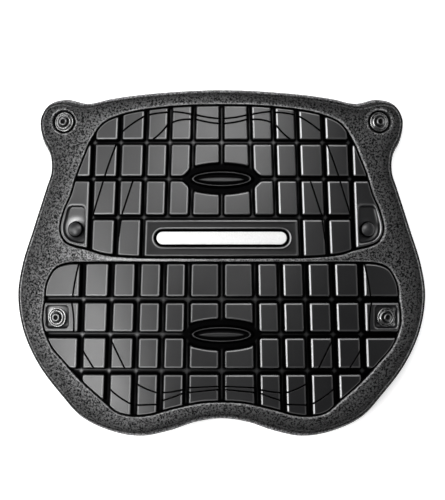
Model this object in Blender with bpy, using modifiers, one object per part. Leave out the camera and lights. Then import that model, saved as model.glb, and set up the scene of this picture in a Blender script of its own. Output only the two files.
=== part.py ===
"""Chest protector insert: a moulded foam pad that holds two tiled armour plates.

Four press studs fasten the pad into a jacket, and two dome rivets hold the upper plate's corners.
The pad lies on its hollow back: +X is right and +Y is towards the neck, seen from the front,
and +Z points away from the chest. Pad and plates are drawn flat, with levels counted from the
tile tops, and one formula then bends them onto the curve of a chest. The studs and rivets are
hard turned pieces, so they are set at right angles to the bent surface and keep their form.
"""

import math

import bmesh
import bpy
import numpy as np
from mathutils import Matrix, Vector

# Plan of the whole pad, in metres
HALF_WIDTH = 0.1256
HALF_HEIGHT = 0.1065

# Curve of the chest: how far the tile tops fall from the crown out to the half width and half height
SIDE_FALL = 0.0320
END_FALL = 0.0103

# Walls and levels
TILE_RISE = 0.0035
PLATE_BASE = 0.0020
FOAM_BACKING = 0.0060
RIM_DROP = 0.0010
LIP_WIDTH = 0.0026
LIP_THICKNESS = 0.0030
EDGE_ROUND = 0.0022
GAP = 0.0003

# Tiles, grooves and pockets
BORDER_GROOVE = 0.0015
UPPER_GROOVE_WIDTH = 0.0031
LOWER_GROOVE_WIDTH = 0.0040
GROOVE_TAPER = 0.0008
POCKET_HALF_LENGTH = 0.0254
POCKET_HALF_HEIGHT = 0.0098
POCKET_SHOULDER_DROP = 0.0024
BOSS_HALF_LENGTH = 0.0181
BOSS_HALF_HEIGHT = 0.0046
BOSS_WALL = 0.0013
BOSS_DROP = 0.0012
BOSS_DISH = 0.0015
WELL_DEPTH = 0.0020
WELL_CORNER = 0.0025
STUD_WELL_SIDE = 0.0142

# Panel with its plain inlaid bar
BAR_LENGTH = 0.0800
BAR_WIDTH = 0.0078
BAR_THICKNESS = 0.0014
BAR_SEAT_DEPTH = 0.0018
BAR_MARGIN = 0.0016

# Turned hardware
STUD_RADIUS = 0.0060
STUD_FLANGE = 0.0010
STUD_RING_RADIUS = 0.0045
STUD_RING_WALL = 0.0009
STUD_RING_HEIGHT = 0.0018
STUD_NUB_RADIUS = 0.0025
STUD_NUB_HEIGHT = 0.0030
STUD_BORE_RADIUS = 0.0011
STUD_SOCKET_DEPTH = 0.0018
STUD_DISH_DEPTH = 0.0015
STUD_DISH_FLARE = 0.0024
RIVET_RADIUS = 0.0050
RIVET_HEIGHT = 0.0032
RIVET_BRIM_SHARE = 0.2
SHANK_RADIUS = 0.0016
BACK_CAP_RADIUS = 0.0050
BACK_CAP_THICKNESS = 0.0010
BACK_CAP_INSET = 0.0006
HOLE_CLEARANCE = 0.0006

# Fineness
OUTLINE_STEPS = 2
BEND_PITCH = 0.0200
WIDE_FACE = 1.4
TURN_STEPS = 16
HOLE_SIDES = 16
DOME_STEPS = 6
SHARP_ANGLE = math.radians(30)
FLAT_ANGLE = math.radians(0.1)
OVERSHOOT = 0.0020
SAME_POINT = 1e-6

# Levels that follow from the walls
PLATE_FLOOR = -TILE_RISE
PLATE_UNDERSIDE = PLATE_FLOOR - PLATE_BASE
SEAT_LEVEL = PLATE_UNDERSIDE - GAP
PAD_UNDERSIDE = SEAT_LEVEL - FOAM_BACKING
RIM_LEVEL = -RIM_DROP
CAP_SEAT_DEPTH = BACK_CAP_INSET + BACK_CAP_THICKNESS + GAP

# Right halves of the outlines, from the top of the middle line round to its foot.
# Columns: across, as a share of HALF_WIDTH, and up, as a share of HALF_HEIGHT.
PAD_OUTLINE = (
    (0.000, 1.000),
    (0.365, 0.977),
    (0.541, 0.950),
    (0.658, 0.923),
    (0.763, 0.947),
    (0.848, 0.919),
    (0.891, 0.824),
    (0.879, 0.714),
    (0.842, 0.619),
    (0.838, 0.526),
    (0.861, 0.438),
    (0.923, 0.208),
    (0.979, -0.006),
    (1.000, -0.187),
    (0.972, -0.401),
    (0.896, -0.598),
    (0.791, -0.762),
    (0.686, -0.894),
    (0.533, -0.976),
    (0.393, -1.000),
    (0.254, -0.968),
    (0.129, -0.919),
    (0.000, -0.898),
)
UPPER_OUTLINE = (
    (0.000, 0.918),
    (0.191, 0.913),
    (0.379, 0.891),
    (0.492, 0.863),
    (0.586, 0.813),
    (0.650, 0.707),
    (0.680, 0.627),
    (0.721, 0.503),
    (0.748, 0.396),
    (0.780, 0.310),
    (0.801, 0.214),
    (0.797, 0.165),
    (0.772, 0.117),
    (0.732, 0.094),
    (0.666, 0.075),
    (0.585, 0.046),
    (0.503, 0.034),
    (0.380, 0.027),
    (0.199, 0.026),
    (0.000, 0.025),
)
LOWER_OUTLINE = (
    (0.000, 0.008),
    (0.334, 0.008),
    (0.666, 0.008),
    (0.764, 0.002),
    (0.822, -0.026),
    (0.854, -0.080),
    (0.870, -0.132),
    (0.877, -0.212),
    (0.886, -0.347),
    (0.846, -0.482),
    (0.780, -0.577),
    (0.698, -0.683),
    (0.589, -0.798),
    (0.515, -0.870),
    (0.434, -0.890),
    (0.354, -0.883),
    (0.243, -0.847),
    (0.104, -0.812),
    (0.000, -0.806),
)

# Grooves along the rows. Columns: up, as a share of HALF_HEIGHT, and half length, as a share of HALF_WIDTH.
UPPER_ROW_GROOVES = ((0.698, 1.0), (0.487, 1.0), (0.264, 0.636))
LOWER_ROW_GROOVES = ((-0.211, 1.0), (-0.414, 1.0), (-0.625, 1.0))

# Upright grooves of the right half, which fan out as they go down.
# Columns: across at the top end and at the foot, and up at those ends, as shares of the half sizes.
UPPER_FAN_GROOVES = (
    (0.000, 0.000, 1.000, 0.264),
    (0.132, 0.153, 1.000, 0.264),
    (0.248, 0.268, 1.000, 0.264),
    (0.362, 0.393, 1.000, -0.040),
    (0.488, 0.523, 1.000, -0.040),
    (0.618, 0.651, 1.000, -0.040),
)
LOWER_FAN_GROOVES = (
    (0.000, 0.000, 0.080, -1.000),
    (0.161, 0.180, 0.080, -1.000),
    (0.281, 0.308, 0.080, -1.000),
    (0.406, 0.435, 0.080, -1.000),
    (0.535, 0.571, 0.080, -1.000),
    (0.676, 0.708, 0.080, -1.000),
)

# Places on the middle line, up, as shares of HALF_HEIGHT
UPPER_BOSS_UP = 0.486
LOWER_BOSS_UP = -0.412
PANEL_UP = 0.144

# Places of the right half's fastenings: across and up, as shares of the half sizes
EAR_STUD_PLACE = (0.777, 0.818)
LOW_STUD_PLACE = (0.810, -0.314)
STUD_WELL_PLACE = (0.806, -0.310)
RIVET_PLACE = (0.717, 0.195)

# Corners of the right rivet well, which leans with the plate's edge
RIVET_WELL = ((0.670, 0.330), (0.752, 0.330), (0.781, 0.190), (0.758, 0.134), (0.714, 0.112), (0.670, 0.110))

# Colour, roughness and metallic value of each material
FOAM = ("foam", (0.060, 0.060, 0.062), 0.85, 0.0)
PLATE = ("plate", (0.022, 0.022, 0.024), 0.30, 0.0)
INLAY = ("inlay", (0.800, 0.800, 0.800), 0.45, 0.0)
RIVET = ("rivet", (0.012, 0.012, 0.013), 0.18, 0.0)
STUD = ("stud", (0.420, 0.420, 0.430), 0.28, 1.0)

SIDES = (("left", -1), ("right", 1))


def clear_scene():
    """Removes what the startup scene holds."""
    for obj in list(bpy.data.objects):
        bpy.data.objects.remove(obj)


def new_collection(name):
    """A collection linked to the scene."""
    collection = bpy.data.collections.new(name)
    bpy.context.scene.collection.children.link(collection)
    return collection


def sized(row):
    """A table row of shares as (across, up) in metres."""
    return np.array([row[0] * HALF_WIDTH, row[1] * HALF_HEIGHT])


def mirrored_loop(half):
    """The closed ring of points, clockwise, of a half outline and its mirror image."""
    right = np.array([sized(row) for row in half])
    left = right[-2:0:-1] * (-1, 1)
    return np.concatenate([right, left])


def smooth_loop(points, steps=OUTLINE_STEPS):
    """A smooth closed curve through the points. On each stretch the four nearest points are blended
    two by two, by how far along their spacing the curve has come, until one point is left."""
    ring = [np.roll(points, shift, axis=0)[:, None, :] for shift in (1, 0, -1, -2)]
    knots = [np.zeros((len(points), 1, 1))]
    for near, far in zip(ring, ring[1:]):
        knots.append(knots[-1] + np.sqrt(np.linalg.norm(far - near, axis=2, keepdims=True)))
    along = knots[1] + (knots[2] - knots[1]) * np.arange(steps)[None, :, None] / steps

    def between(low, high, first, last):
        share = (along - knots[first]) / (knots[last] - knots[first])
        return low * (1 - share) + high * share

    ends = [between(ring[i], ring[i + 1], i, i + 1) for i in range(3)]
    middles = [between(ends[i], ends[i + 1], i, i + 2) for i in range(2)]
    return between(middles[0], middles[1], 1, 2).reshape(-1, 2)


def offset_loop(points, distance):
    """A clockwise ring moved outwards by a distance, at right angles to its run."""
    run = np.roll(points, -1, axis=0) - np.roll(points, 1, axis=0)
    run /= np.linalg.norm(run, axis=1)[:, None]
    return points + np.column_stack([-run[:, 1], run[:, 0]]) * distance


def rounded_polygon(corners, radius, steps=3):
    """A ring with each corner replaced by a parabola that leaves both sides a radius away from it."""
    corners = np.array(corners)
    rounded = []
    for before, corner, after in zip(np.roll(corners, 1, axis=0), corners, np.roll(corners, -1, axis=0)):
        ends = []
        for other in (before, after):
            side = other - corner
            length = np.linalg.norm(side)
            ends.append(corner + side * min(radius / length, 0.5))
        for share in np.linspace(0.0, 1.0, steps):
            rounded.append(
                ends[0] * (1 - share) ** 2 + corner * 2 * share * (1 - share) + ends[1] * share ** 2
            )
    return np.array(rounded)


def stadium(length, width, centre, steps=6):
    """A clockwise ring with straight long sides and half-round ends."""
    angles = np.linspace(math.pi / 2, -math.pi / 2, steps)
    cap = np.column_stack([np.cos(angles), np.sin(angles)]) * width / 2
    shift = np.array([(length - width) / 2, 0.0])
    return np.concatenate([cap + shift, -cap - shift]) + centre


def ellipse(half_length, half_height, centre, steps=32):
    """A clockwise oval ring."""
    angles = np.linspace(0.0, -2 * math.pi, steps, endpoint=False)
    return np.column_stack([np.cos(angles) * half_length, np.sin(angles) * half_height]) + centre


def pointed_pocket(centre, steps=7):
    """A clockwise ring round a boss: a shallow arc above and below, and slanted ends that meet in points."""
    shoulder_up = POCKET_HALF_HEIGHT - POCKET_SHOULDER_DROP
    shoulder_across = POCKET_HALF_LENGTH - shoulder_up
    across = np.linspace(-shoulder_across, shoulder_across, steps)
    up = POCKET_HALF_HEIGHT - POCKET_SHOULDER_DROP * (across / shoulder_across) ** 2
    top = np.column_stack([across, up])
    tip = np.array([[POCKET_HALF_LENGTH, 0.0]])
    return np.concatenate([top, tip, -top, -tip]) + centre


def surface(plan):
    """Height of the tile tops over plan points, and their normals: the fall grows with the square of
    the share of each half size."""
    shares = plan / (HALF_WIDTH, HALF_HEIGHT)
    falls = np.array([SIDE_FALL, END_FALL])
    slopes = 2 * falls * shares / (HALF_WIDTH, HALF_HEIGHT)
    normals = np.column_stack([slopes, np.ones(len(plan))])
    normals /= np.linalg.norm(normals, axis=1)[:, None]
    return -(shares ** 2) @ falls, normals


def bend(points):
    """Flat points (across, up, level) set on the curved surface, with the level along its normal."""
    heights, normals = surface(points[:, :2])
    return np.column_stack([points[:, :2], heights]) + normals * points[:, 2:]


def spread(plan, level):
    """The flat plan points that the bend brings under the given points, seen from above, at a level."""
    flat = plan.copy()
    for _ in range(6):
        flat = plan - surface(flat)[1][:, :2] * level
    return flat


def pad_loop():
    """The pad's outer ring in the flat plan. Its lip's upper edge is the outline seen from above."""
    return spread(smooth_loop(mirrored_loop(PAD_OUTLINE)), PAD_UNDERSIDE + LIP_THICKNESS)


def ground_lift():
    """How far the bent pad is raised so that its lowest edge lies at height zero."""
    ring = pad_loop()
    return -bend(np.column_stack([ring, np.full(len(ring), PAD_UNDERSIDE)]))[:, 2].min()


def realised(obj):
    """Replaces an object by a plain welded mesh of its evaluated shape."""
    bpy.context.view_layer.update()
    evaluated = obj.evaluated_get(bpy.context.evaluated_depsgraph_get())
    mesh = bpy.data.meshes.new_from_object(evaluated)
    mesh.transform(obj.matrix_world)
    work = bmesh.new()
    work.from_mesh(mesh)
    bmesh.ops.remove_doubles(work, verts=work.verts, dist=SAME_POINT)
    bmesh.ops.recalc_face_normals(work, faces=work.faces)
    work.to_mesh(mesh)
    work.free()
    name = obj.name
    collection = obj.users_collection[0]
    bpy.data.objects.remove(obj)
    made = bpy.data.objects.new(name, mesh)
    collection.objects.link(made)
    return made


def outline_slab(name, points, low, high, collection, rounding=0.0):
    """A flat outline raised from one level to another, its edges chamfered by the rounding."""
    curve = bpy.data.curves.new(name, "CURVE")
    curve.dimensions = "2D"
    curve.fill_mode = "BOTH"
    curve.extrude = (high - low) / 2 - rounding
    curve.bevel_depth = rounding
    curve.bevel_resolution = 0
    curve.offset = -rounding
    spline = curve.splines.new("POLY")
    spline.points.add(len(points) - 1)
    places = np.column_stack([points, np.zeros(len(points)), np.ones(len(points))])
    spline.points.foreach_set("co", places.ravel())
    spline.use_cyclic_u = True
    guide = bpy.data.objects.new(name, curve)
    collection.objects.link(guide)
    guide.location.z = (low + high) / 2
    return realised(guide)


def object_from(name, work, collection):
    """An object of a finished bmesh."""
    mesh = bpy.data.meshes.new(name)
    work.to_mesh(mesh)
    work.free()
    made = bpy.data.objects.new(name, mesh)
    collection.objects.link(made)
    return made


def round_cutters(name, centres, levels, radii, cutters):
    """Upright cones or cylinders over the centres, as one object, with a level and a radius at each end."""
    low, high = levels
    work = bmesh.new()
    for centre in centres:
        bmesh.ops.create_cone(
            work,
            cap_ends=True,
            segments=HOLE_SIDES,
            radius1=radii[0],
            radius2=radii[1],
            depth=high - low,
            matrix=Matrix.Translation((*centre, (low + high) / 2)),
        )
    return object_from(name, work, cutters)


def groove_cutters(name, runs, width, cutters):
    """Straight channels between pairs of plan points, through the tiles, as one object. Their walls
    lean out, so that a channel has its width at the tile tops and is narrower at its floor."""
    lean = GROOVE_TAPER / TILE_RISE
    levels = {-1: PLATE_FLOOR - PLATE_BASE / 2, 1: OVERSHOOT}
    work = bmesh.new()
    for start, end in runs:
        run = end - start
        made = bmesh.ops.create_cube(work, size=2.0)["verts"]
        for vert in made:
            level = levels[round(vert.co.z)]
            across = vert.co.y * (width / 2 + lean * level)
            vert.co = Vector((vert.co.x * np.linalg.norm(run) / 2, across, level))
        place = Matrix.Translation((*((start + end) / 2), 0.0))
        turn = Matrix.Rotation(math.atan2(run[1], run[0]), 4, "Z")
        bmesh.ops.transform(work, matrix=place @ turn, verts=made)
    return object_from(name, work, cutters)


def combined(target, other, operation="DIFFERENCE"):
    """The target cut by another object, or joined with it, as a plain mesh again."""
    modifier = target.modifiers.new(other.name, "BOOLEAN")
    modifier.operation = operation
    modifier.object = other
    return realised(target)


def both_sides(place):
    """The plan points, left then right, of a place given for the right half."""
    right = sized(place)
    return [right * (side, 1) for _, side in SIDES]


def row_runs(table):
    """End points of the grooves along the rows."""
    return [(sized((-half, up)), sized((half, up))) for up, half in table]


def fan_runs(table):
    """End points of the upright grooves, on both sides of the middle line."""
    runs = []
    for top_across, foot_across, top_up, foot_up in table:
        for side in (1, -1) if top_across > 0 else (1,):
            runs.append((sized((side * top_across, top_up)), sized((side * foot_across, foot_up))))
    return runs


def material_of(row):
    """A Principled material of one row of the table above."""
    name, colour, roughness, metallic = row
    material = bpy.data.materials.get(name) or bpy.data.materials.new(name)
    material.use_nodes = True
    shader = material.node_tree.nodes["Principled BSDF"]
    shader.inputs["Base Color"].default_value = (*colour, 1.0)
    shader.inputs["Roughness"].default_value = roughness
    shader.inputs["Metallic"].default_value = metallic
    return material


def wide_faces(work, axis, place, widest):
    """The faces wider than the widest along an axis that a plane at the place crosses, with their edges."""
    found = []
    for face in work.faces:
        along = [vert.co[axis] for vert in face.verts]
        if min(along) < place < max(along) and max(along) - min(along) > widest:
            found.append(face)
    edges = {edge for face in found for edge in face.edges}
    return found + list(edges)


def cut_into_cells(work, pitch):
    """Splits the wide faces along upright planes a pitch apart, so that they can follow the bend."""
    reach = math.ceil(max(HALF_WIDTH, HALF_HEIGHT) / pitch) + 1
    for axis in (0, 1):
        normal = Vector((0.0, 0.0, 0.0))
        normal[axis] = 1.0
        for cell in range(-reach, reach):
            place = (cell + 0.5) * pitch
            crossed = wide_faces(work, axis, place, pitch * WIDE_FACE)
            if crossed:
                bmesh.ops.bisect_plane(
                    work, geom=crossed, dist=SAME_POINT, plane_co=normal * place, plane_no=normal,
                )


def finish_bent(obj, material_row, lift):
    """Bends a flat piece onto the chest, raises it off the ground and gives it its material."""
    mesh = obj.data
    work = bmesh.new()
    work.from_mesh(mesh)
    bmesh.ops.dissolve_limit(work, angle_limit=FLAT_ANGLE, verts=work.verts, edges=work.edges)
    cut_into_cells(work, BEND_PITCH)
    bmesh.ops.triangulate(work, faces=work.faces)
    work.to_mesh(mesh)
    work.free()
    points = np.empty(len(mesh.vertices) * 3, np.float32)
    mesh.vertices.foreach_get("co", points)
    bent = bend(points.reshape(-1, 3).astype(np.float64)) + (0.0, 0.0, lift)
    mesh.vertices.foreach_set("co", bent.astype(np.float32).ravel())
    mesh.materials.clear()
    mesh.materials.append(material_of(material_row))
    mesh.shade_smooth()
    mesh.set_sharp_from_angle(angle=SHARP_ANGLE)


def turned(name, profile, material_row, collection, hollow=False):
    """A profile of (radius, height) points, run down its outer side, turned about the Z axis.
    A hollow piece has a closed profile that doesn't reach the axis."""
    edges = [(start, start + 1) for start in range(len(profile) - 1)]
    if hollow:
        edges.append((len(profile) - 1, 0))
    mesh = bpy.data.meshes.new(name)
    mesh.from_pydata([(radius, 0.0, height) for radius, height in profile], edges, [])
    mesh.materials.append(material_of(material_row))
    made = bpy.data.objects.new(name, mesh)
    collection.objects.link(made)
    screw = made.modifiers.new("turn", "SCREW")
    screw.axis = "Z"
    screw.steps = TURN_STEPS
    screw.render_steps = TURN_STEPS
    screw.use_merge_vertices = True
    screw.merge_threshold = SAME_POINT
    return made


def set_on_surface(obj, plan, level, lift):
    """Stands a hard piece at right angles to the bent surface, its base at a level there."""
    obj.location = bend(np.array([[*plan, level]]))[0] + (0.0, 0.0, lift)
    obj.rotation_mode = "QUATERNION"
    obj.rotation_quaternion = Vector(surface(plan[None, :])[1][0]).to_track_quat("Z", "Y")


def stud_profile():
    """Half section of a press stud: flange, raised ring, central nub, bore, and a socket for the post."""
    socket_radius = SHANK_RADIUS + GAP
    ring_inside = STUD_RING_RADIUS - STUD_RING_WALL
    return [
        (STUD_BORE_RADIUS, STUD_NUB_HEIGHT),
        (STUD_NUB_RADIUS, STUD_NUB_HEIGHT),
        (STUD_NUB_RADIUS, STUD_FLANGE),
        (ring_inside, STUD_FLANGE),
        (ring_inside, STUD_RING_HEIGHT),
        (STUD_RING_RADIUS, STUD_RING_HEIGHT),
        (STUD_RING_RADIUS, STUD_FLANGE),
        (STUD_RADIUS, STUD_FLANGE),
        (STUD_RADIUS, 0.0),
        (socket_radius, 0.0),
        (socket_radius, STUD_SOCKET_DEPTH),
        (STUD_BORE_RADIUS, STUD_SOCKET_DEPTH),
    ]


def shank_profile(top, base_level):
    """Half section of a shank with its back cap, under a base at a level: the cap lies in its seat."""
    cap_top = PAD_UNDERSIDE + BACK_CAP_INSET + BACK_CAP_THICKNESS - base_level
    cap_foot = cap_top - BACK_CAP_THICKNESS
    return [
        (SHANK_RADIUS, top),
        (SHANK_RADIUS, cap_top),
        (BACK_CAP_RADIUS, cap_top),
        (BACK_CAP_RADIUS, cap_foot),
        (0.0, cap_foot),
    ]


def build_stud(place_name, side_name, plan, seat_level, lift, collection):
    """A press stud on its seat, and the hidden post that holds it from the back."""
    base = seat_level + GAP
    stud = turned(f"press_stud_{place_name}_{side_name}", stud_profile(), STUD, collection, hollow=True)
    set_on_surface(stud, plan, base, lift)
    post_top = STUD_SOCKET_DEPTH - GAP
    profile = [(0.0, post_top), *shank_profile(post_top, base)]
    post = turned(f"stud_post_{place_name}_{side_name}", profile, STUD, collection)
    set_on_surface(post, plan, base, lift)


def build_rivet(side_name, plan, seat_level, lift, collection):
    """A dome rivet on its seat, one piece with its shank and the tail formed at the back."""
    base = seat_level + GAP
    angles = np.linspace(math.pi / 2, 0.0, DOME_STEPS)
    brim = RIVET_HEIGHT * RIVET_BRIM_SHARE
    dome = [
        (RIVET_RADIUS * math.cos(angle), brim + (RIVET_HEIGHT - brim) * math.sin(angle)) for angle in angles
    ]
    dome[0] = (0.0, RIVET_HEIGHT)
    profile = [*dome, (RIVET_RADIUS, 0.0), *shank_profile(0.0, base)]
    rivet = turned(f"dome_rivet_{side_name}", profile, RIVET, collection)
    set_on_surface(rivet, plan, base, lift)


def build_foam_pad(shanks, ear_plans, back_plans, collection, cutters):
    """The foam pad: a thin lip round a thicker body, with plate seats, stud dishes and cap seats."""
    ring = pad_loop()
    lip_top = PAD_UNDERSIDE + LIP_THICKNESS
    pad = outline_slab("foam_pad", ring, PAD_UNDERSIDE, lip_top, collection)
    inner = offset_loop(ring, -LIP_WIDTH)
    body_foot = PAD_UNDERSIDE + LIP_THICKNESS / 4
    body = outline_slab("pad_body", inner, body_foot, RIM_LEVEL, cutters, EDGE_ROUND)
    pad = combined(pad, body, "UNION")
    for name, outline in (("upper_seat", UPPER_OUTLINE), ("lower_seat", LOWER_OUTLINE)):
        seat_ring = smooth_loop(mirrored_loop(outline))
        pad = combined(pad, outline_slab(name, seat_ring, SEAT_LEVEL, OVERSHOOT, cutters))
    dish_floor = RIM_LEVEL - STUD_DISH_DEPTH
    dish_radius = STUD_RADIUS + HOLE_CLEARANCE
    flare = STUD_DISH_FLARE / STUD_DISH_DEPTH
    dish_radii = (dish_radius, dish_radius + flare * (OVERSHOOT - dish_floor))
    pad = combined(pad, round_cutters("ear_dishes", ear_plans, (dish_floor, OVERSHOOT), dish_radii, cutters))
    cap_levels = (PAD_UNDERSIDE - OVERSHOOT, PAD_UNDERSIDE + CAP_SEAT_DEPTH)
    cap_radius = BACK_CAP_RADIUS + HOLE_CLEARANCE
    pad = combined(pad, round_cutters("cap_seats", back_plans, cap_levels, (cap_radius, cap_radius), cutters))
    return combined(pad, shanks)


def build_plate(name, outline, row_table, fan_table, groove_width, boss_up, collection, cutters):
    """A plate of tiles on a thin base, cut by its grooves, with an oval boss in a pointed pocket."""
    seat_ring = smooth_loop(mirrored_loop(outline))
    block_foot = PLATE_FLOOR - PLATE_BASE / 4
    plate = outline_slab(name, offset_loop(seat_ring, -BORDER_GROOVE), block_foot, 0.0, collection)
    plate = combined(plate, groove_cutters(f"{name}_rows", row_runs(row_table), groove_width, cutters))
    plate = combined(plate, groove_cutters(f"{name}_fan", fan_runs(fan_table), groove_width, cutters))
    centre = np.array([0.0, boss_up * HALF_HEIGHT])
    pocket_foot = PLATE_FLOOR - PLATE_BASE / 2
    plate = combined(plate, outline_slab(f"{name}_pocket", pointed_pocket(centre), pocket_foot, OVERSHOOT, cutters))
    base_ring = offset_loop(seat_ring, -GAP)
    base = outline_slab(f"{name}_base", base_ring, PLATE_UNDERSIDE, PLATE_FLOOR, cutters)
    plate = combined(plate, base, "UNION")
    boss_ring = ellipse(BOSS_HALF_LENGTH, BOSS_HALF_HEIGHT, centre)
    boss = outline_slab(f"{name}_boss", boss_ring, block_foot, -BOSS_DROP, cutters)
    plate = combined(plate, boss, "UNION")
    dish_ring = ellipse(BOSS_HALF_LENGTH - BOSS_WALL, BOSS_HALF_HEIGHT - BOSS_WALL, centre)
    dish_foot = -BOSS_DROP - BOSS_DISH
    return combined(plate, outline_slab(f"{name}_dish", dish_ring, dish_foot, OVERSHOOT, cutters))


def build_upper_plate(shanks, collection, cutters):
    """The upper plate, with its panel's bar seat and the two rivet wells."""
    plate = build_plate(
        "upper_plate",
        UPPER_OUTLINE,
        UPPER_ROW_GROOVES,
        UPPER_FAN_GROOVES,
        UPPER_GROOVE_WIDTH,
        UPPER_BOSS_UP,
        collection,
        cutters,
    )
    seat_ring = stadium(BAR_LENGTH + 2 * BAR_MARGIN, BAR_WIDTH + 2 * BAR_MARGIN, sized((0.0, PANEL_UP)))
    plate = combined(plate, outline_slab("bar_seat", seat_ring, -BAR_SEAT_DEPTH, OVERSHOOT, cutters))
    for side_name, side in SIDES:
        corners = [sized(row) * (side, 1) for row in RIVET_WELL]
        well_ring = rounded_polygon(corners, WELL_CORNER)
        well = outline_slab(f"rivet_well_{side_name}", well_ring, -WELL_DEPTH, OVERSHOOT, cutters)
        plate = combined(plate, well)
    return combined(plate, shanks)


def build_lower_plate(shanks, collection, cutters):
    """The lower plate, with its two stud wells."""
    plate = build_plate(
        "lower_plate",
        LOWER_OUTLINE,
        LOWER_ROW_GROOVES,
        LOWER_FAN_GROOVES,
        LOWER_GROOVE_WIDTH,
        LOWER_BOSS_UP,
        collection,
        cutters,
    )
    half = STUD_WELL_SIDE / 2
    square = np.array([(-half, -half), (-half, half), (half, half), (half, -half)])
    for (side_name, _), centre in zip(SIDES, both_sides(STUD_WELL_PLACE)):
        well_ring = rounded_polygon(square + centre, WELL_CORNER)
        well = outline_slab(f"stud_well_{side_name}", well_ring, -WELL_DEPTH, OVERSHOOT, cutters)
        plate = combined(plate, well)
    return combined(plate, shanks)


def build_inlay_bar(collection):
    """The plain bar that lies in the panel's seat."""
    ring = stadium(BAR_LENGTH, BAR_WIDTH, sized((0.0, PANEL_UP)))
    foot = GAP - BAR_SEAT_DEPTH
    return outline_slab("inlay_bar", ring, foot, foot + BAR_THICKNESS, collection)


def build_hardware(ear_plans, low_plans, rivet_plans, lift, collection):
    """The four studs with their posts, and the two rivets."""
    dish_floor = RIM_LEVEL - STUD_DISH_DEPTH
    for (side_name, _), ear, low, rivet in zip(SIDES, ear_plans, low_plans, rivet_plans):
        build_stud("ear", side_name, ear, dish_floor, lift, collection)
        build_stud("low", side_name, low, -WELL_DEPTH, lift, collection)
        build_rivet(side_name, rivet, -WELL_DEPTH, lift, collection)


def main():
    """Builds the chest protector."""
    clear_scene()
    collection = new_collection("chest_protector")
    cutters = new_collection("cutters")
    lift = ground_lift()
    ear_plans = both_sides(EAR_STUD_PLACE)
    low_plans = both_sides(LOW_STUD_PLACE)
    rivet_plans = both_sides(RIVET_PLACE)
    back_plans = ear_plans + low_plans + rivet_plans
    shank_levels = (PAD_UNDERSIDE - OVERSHOOT, OVERSHOOT)
    hole_radius = SHANK_RADIUS + HOLE_CLEARANCE
    shanks = round_cutters("shank_holes", back_plans, shank_levels, (hole_radius, hole_radius), cutters)
    foam_pad = build_foam_pad(shanks, ear_plans, back_plans, collection, cutters)
    upper_plate = build_upper_plate(shanks, collection, cutters)
    lower_plate = build_lower_plate(shanks, collection, cutters)
    inlay_bar = build_inlay_bar(collection)
    for piece, material_row in ((foam_pad, FOAM), (upper_plate, PLATE), (lower_plate, PLATE), (inlay_bar, INLAY)):
        finish_bent(piece, material_row, lift)
    build_hardware(ear_plans, low_plans, rivet_plans, lift, collection)
    for cutter in cutters.objects:
        cutter.hide_render = True
        cutter.display_type = "WIRE"


if __name__ == "__main__":
    main()
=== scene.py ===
"""Looks of the chest protector: a moulded foam pad, two tiled plates, studs, rivets and a plain bar.

Everything is drawn flat first, as (across, up, level) points with levels counted from the tile tops,
and then bent onto the curve of a chest. Tiles are stacks of rings that follow the level sets of a
distance field, so every wall, rounding and recess keeps its real width.
"""

import itertools
import logging
import math
from dataclasses import dataclass, field
from enum import Enum
from typing import Callable, Sequence

import bpy
import numpy as np
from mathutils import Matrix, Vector
from numpy.typing import NDArray


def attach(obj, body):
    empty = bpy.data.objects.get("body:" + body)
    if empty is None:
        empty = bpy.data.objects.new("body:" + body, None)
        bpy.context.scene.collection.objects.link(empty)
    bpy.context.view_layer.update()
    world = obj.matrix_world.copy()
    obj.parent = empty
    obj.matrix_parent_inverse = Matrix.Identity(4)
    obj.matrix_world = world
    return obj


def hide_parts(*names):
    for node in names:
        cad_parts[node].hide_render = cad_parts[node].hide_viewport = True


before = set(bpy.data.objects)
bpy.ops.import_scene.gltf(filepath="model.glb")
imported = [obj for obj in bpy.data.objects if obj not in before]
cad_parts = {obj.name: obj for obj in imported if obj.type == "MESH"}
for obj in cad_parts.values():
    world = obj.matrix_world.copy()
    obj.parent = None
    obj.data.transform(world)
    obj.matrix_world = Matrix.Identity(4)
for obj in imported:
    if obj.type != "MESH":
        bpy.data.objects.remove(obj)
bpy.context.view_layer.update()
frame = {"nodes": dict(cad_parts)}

Points = NDArray[np.float64]
Field = Callable[[Points], Points]
Row = tuple[float, ...]
Faces = Sequence[NDArray[np.int64]]

LOG = logging.getLogger("chest_protector")
MM = 0.001
SPREAD_ROUNDS = 6
HALVINGS = 22

# Right halves of the outlines. Columns: across and up, as shares of the half sizes.
PAD_OUTLINE = (
    (0.000, 1.000), (0.365, 0.977), (0.541, 0.950), (0.658, 0.923), (0.763, 0.947), (0.848, 0.919),
    (0.891, 0.824), (0.879, 0.714), (0.842, 0.619), (0.838, 0.526), (0.861, 0.438), (0.923, 0.208),
    (0.979, -0.006), (1.000, -0.187), (0.972, -0.401), (0.896, -0.598), (0.791, -0.762), (0.686, -0.894),
    (0.533, -0.976), (0.393, -1.000), (0.254, -0.968), (0.129, -0.919), (0.000, -0.898),
)
UPPER_OUTLINE = (
    (0.000, 0.918), (0.191, 0.913), (0.379, 0.891), (0.492, 0.863), (0.586, 0.813), (0.650, 0.707),
    (0.680, 0.627), (0.721, 0.503), (0.748, 0.396), (0.780, 0.310), (0.801, 0.214), (0.797, 0.165),
    (0.772, 0.117), (0.732, 0.094), (0.666, 0.075), (0.585, 0.046), (0.503, 0.034), (0.380, 0.027),
    (0.199, 0.026), (0.000, 0.025),
)
LOWER_OUTLINE = (
    (0.000, 0.008), (0.334, 0.008), (0.666, 0.008), (0.764, 0.002), (0.822, -0.026), (0.854, -0.080),
    (0.870, -0.132), (0.877, -0.212), (0.886, -0.347), (0.846, -0.482), (0.780, -0.577), (0.698, -0.683),
    (0.589, -0.798), (0.515, -0.870), (0.434, -0.890), (0.354, -0.883), (0.243, -0.847), (0.104, -0.812),
    (0.000, -0.806),
)

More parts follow.
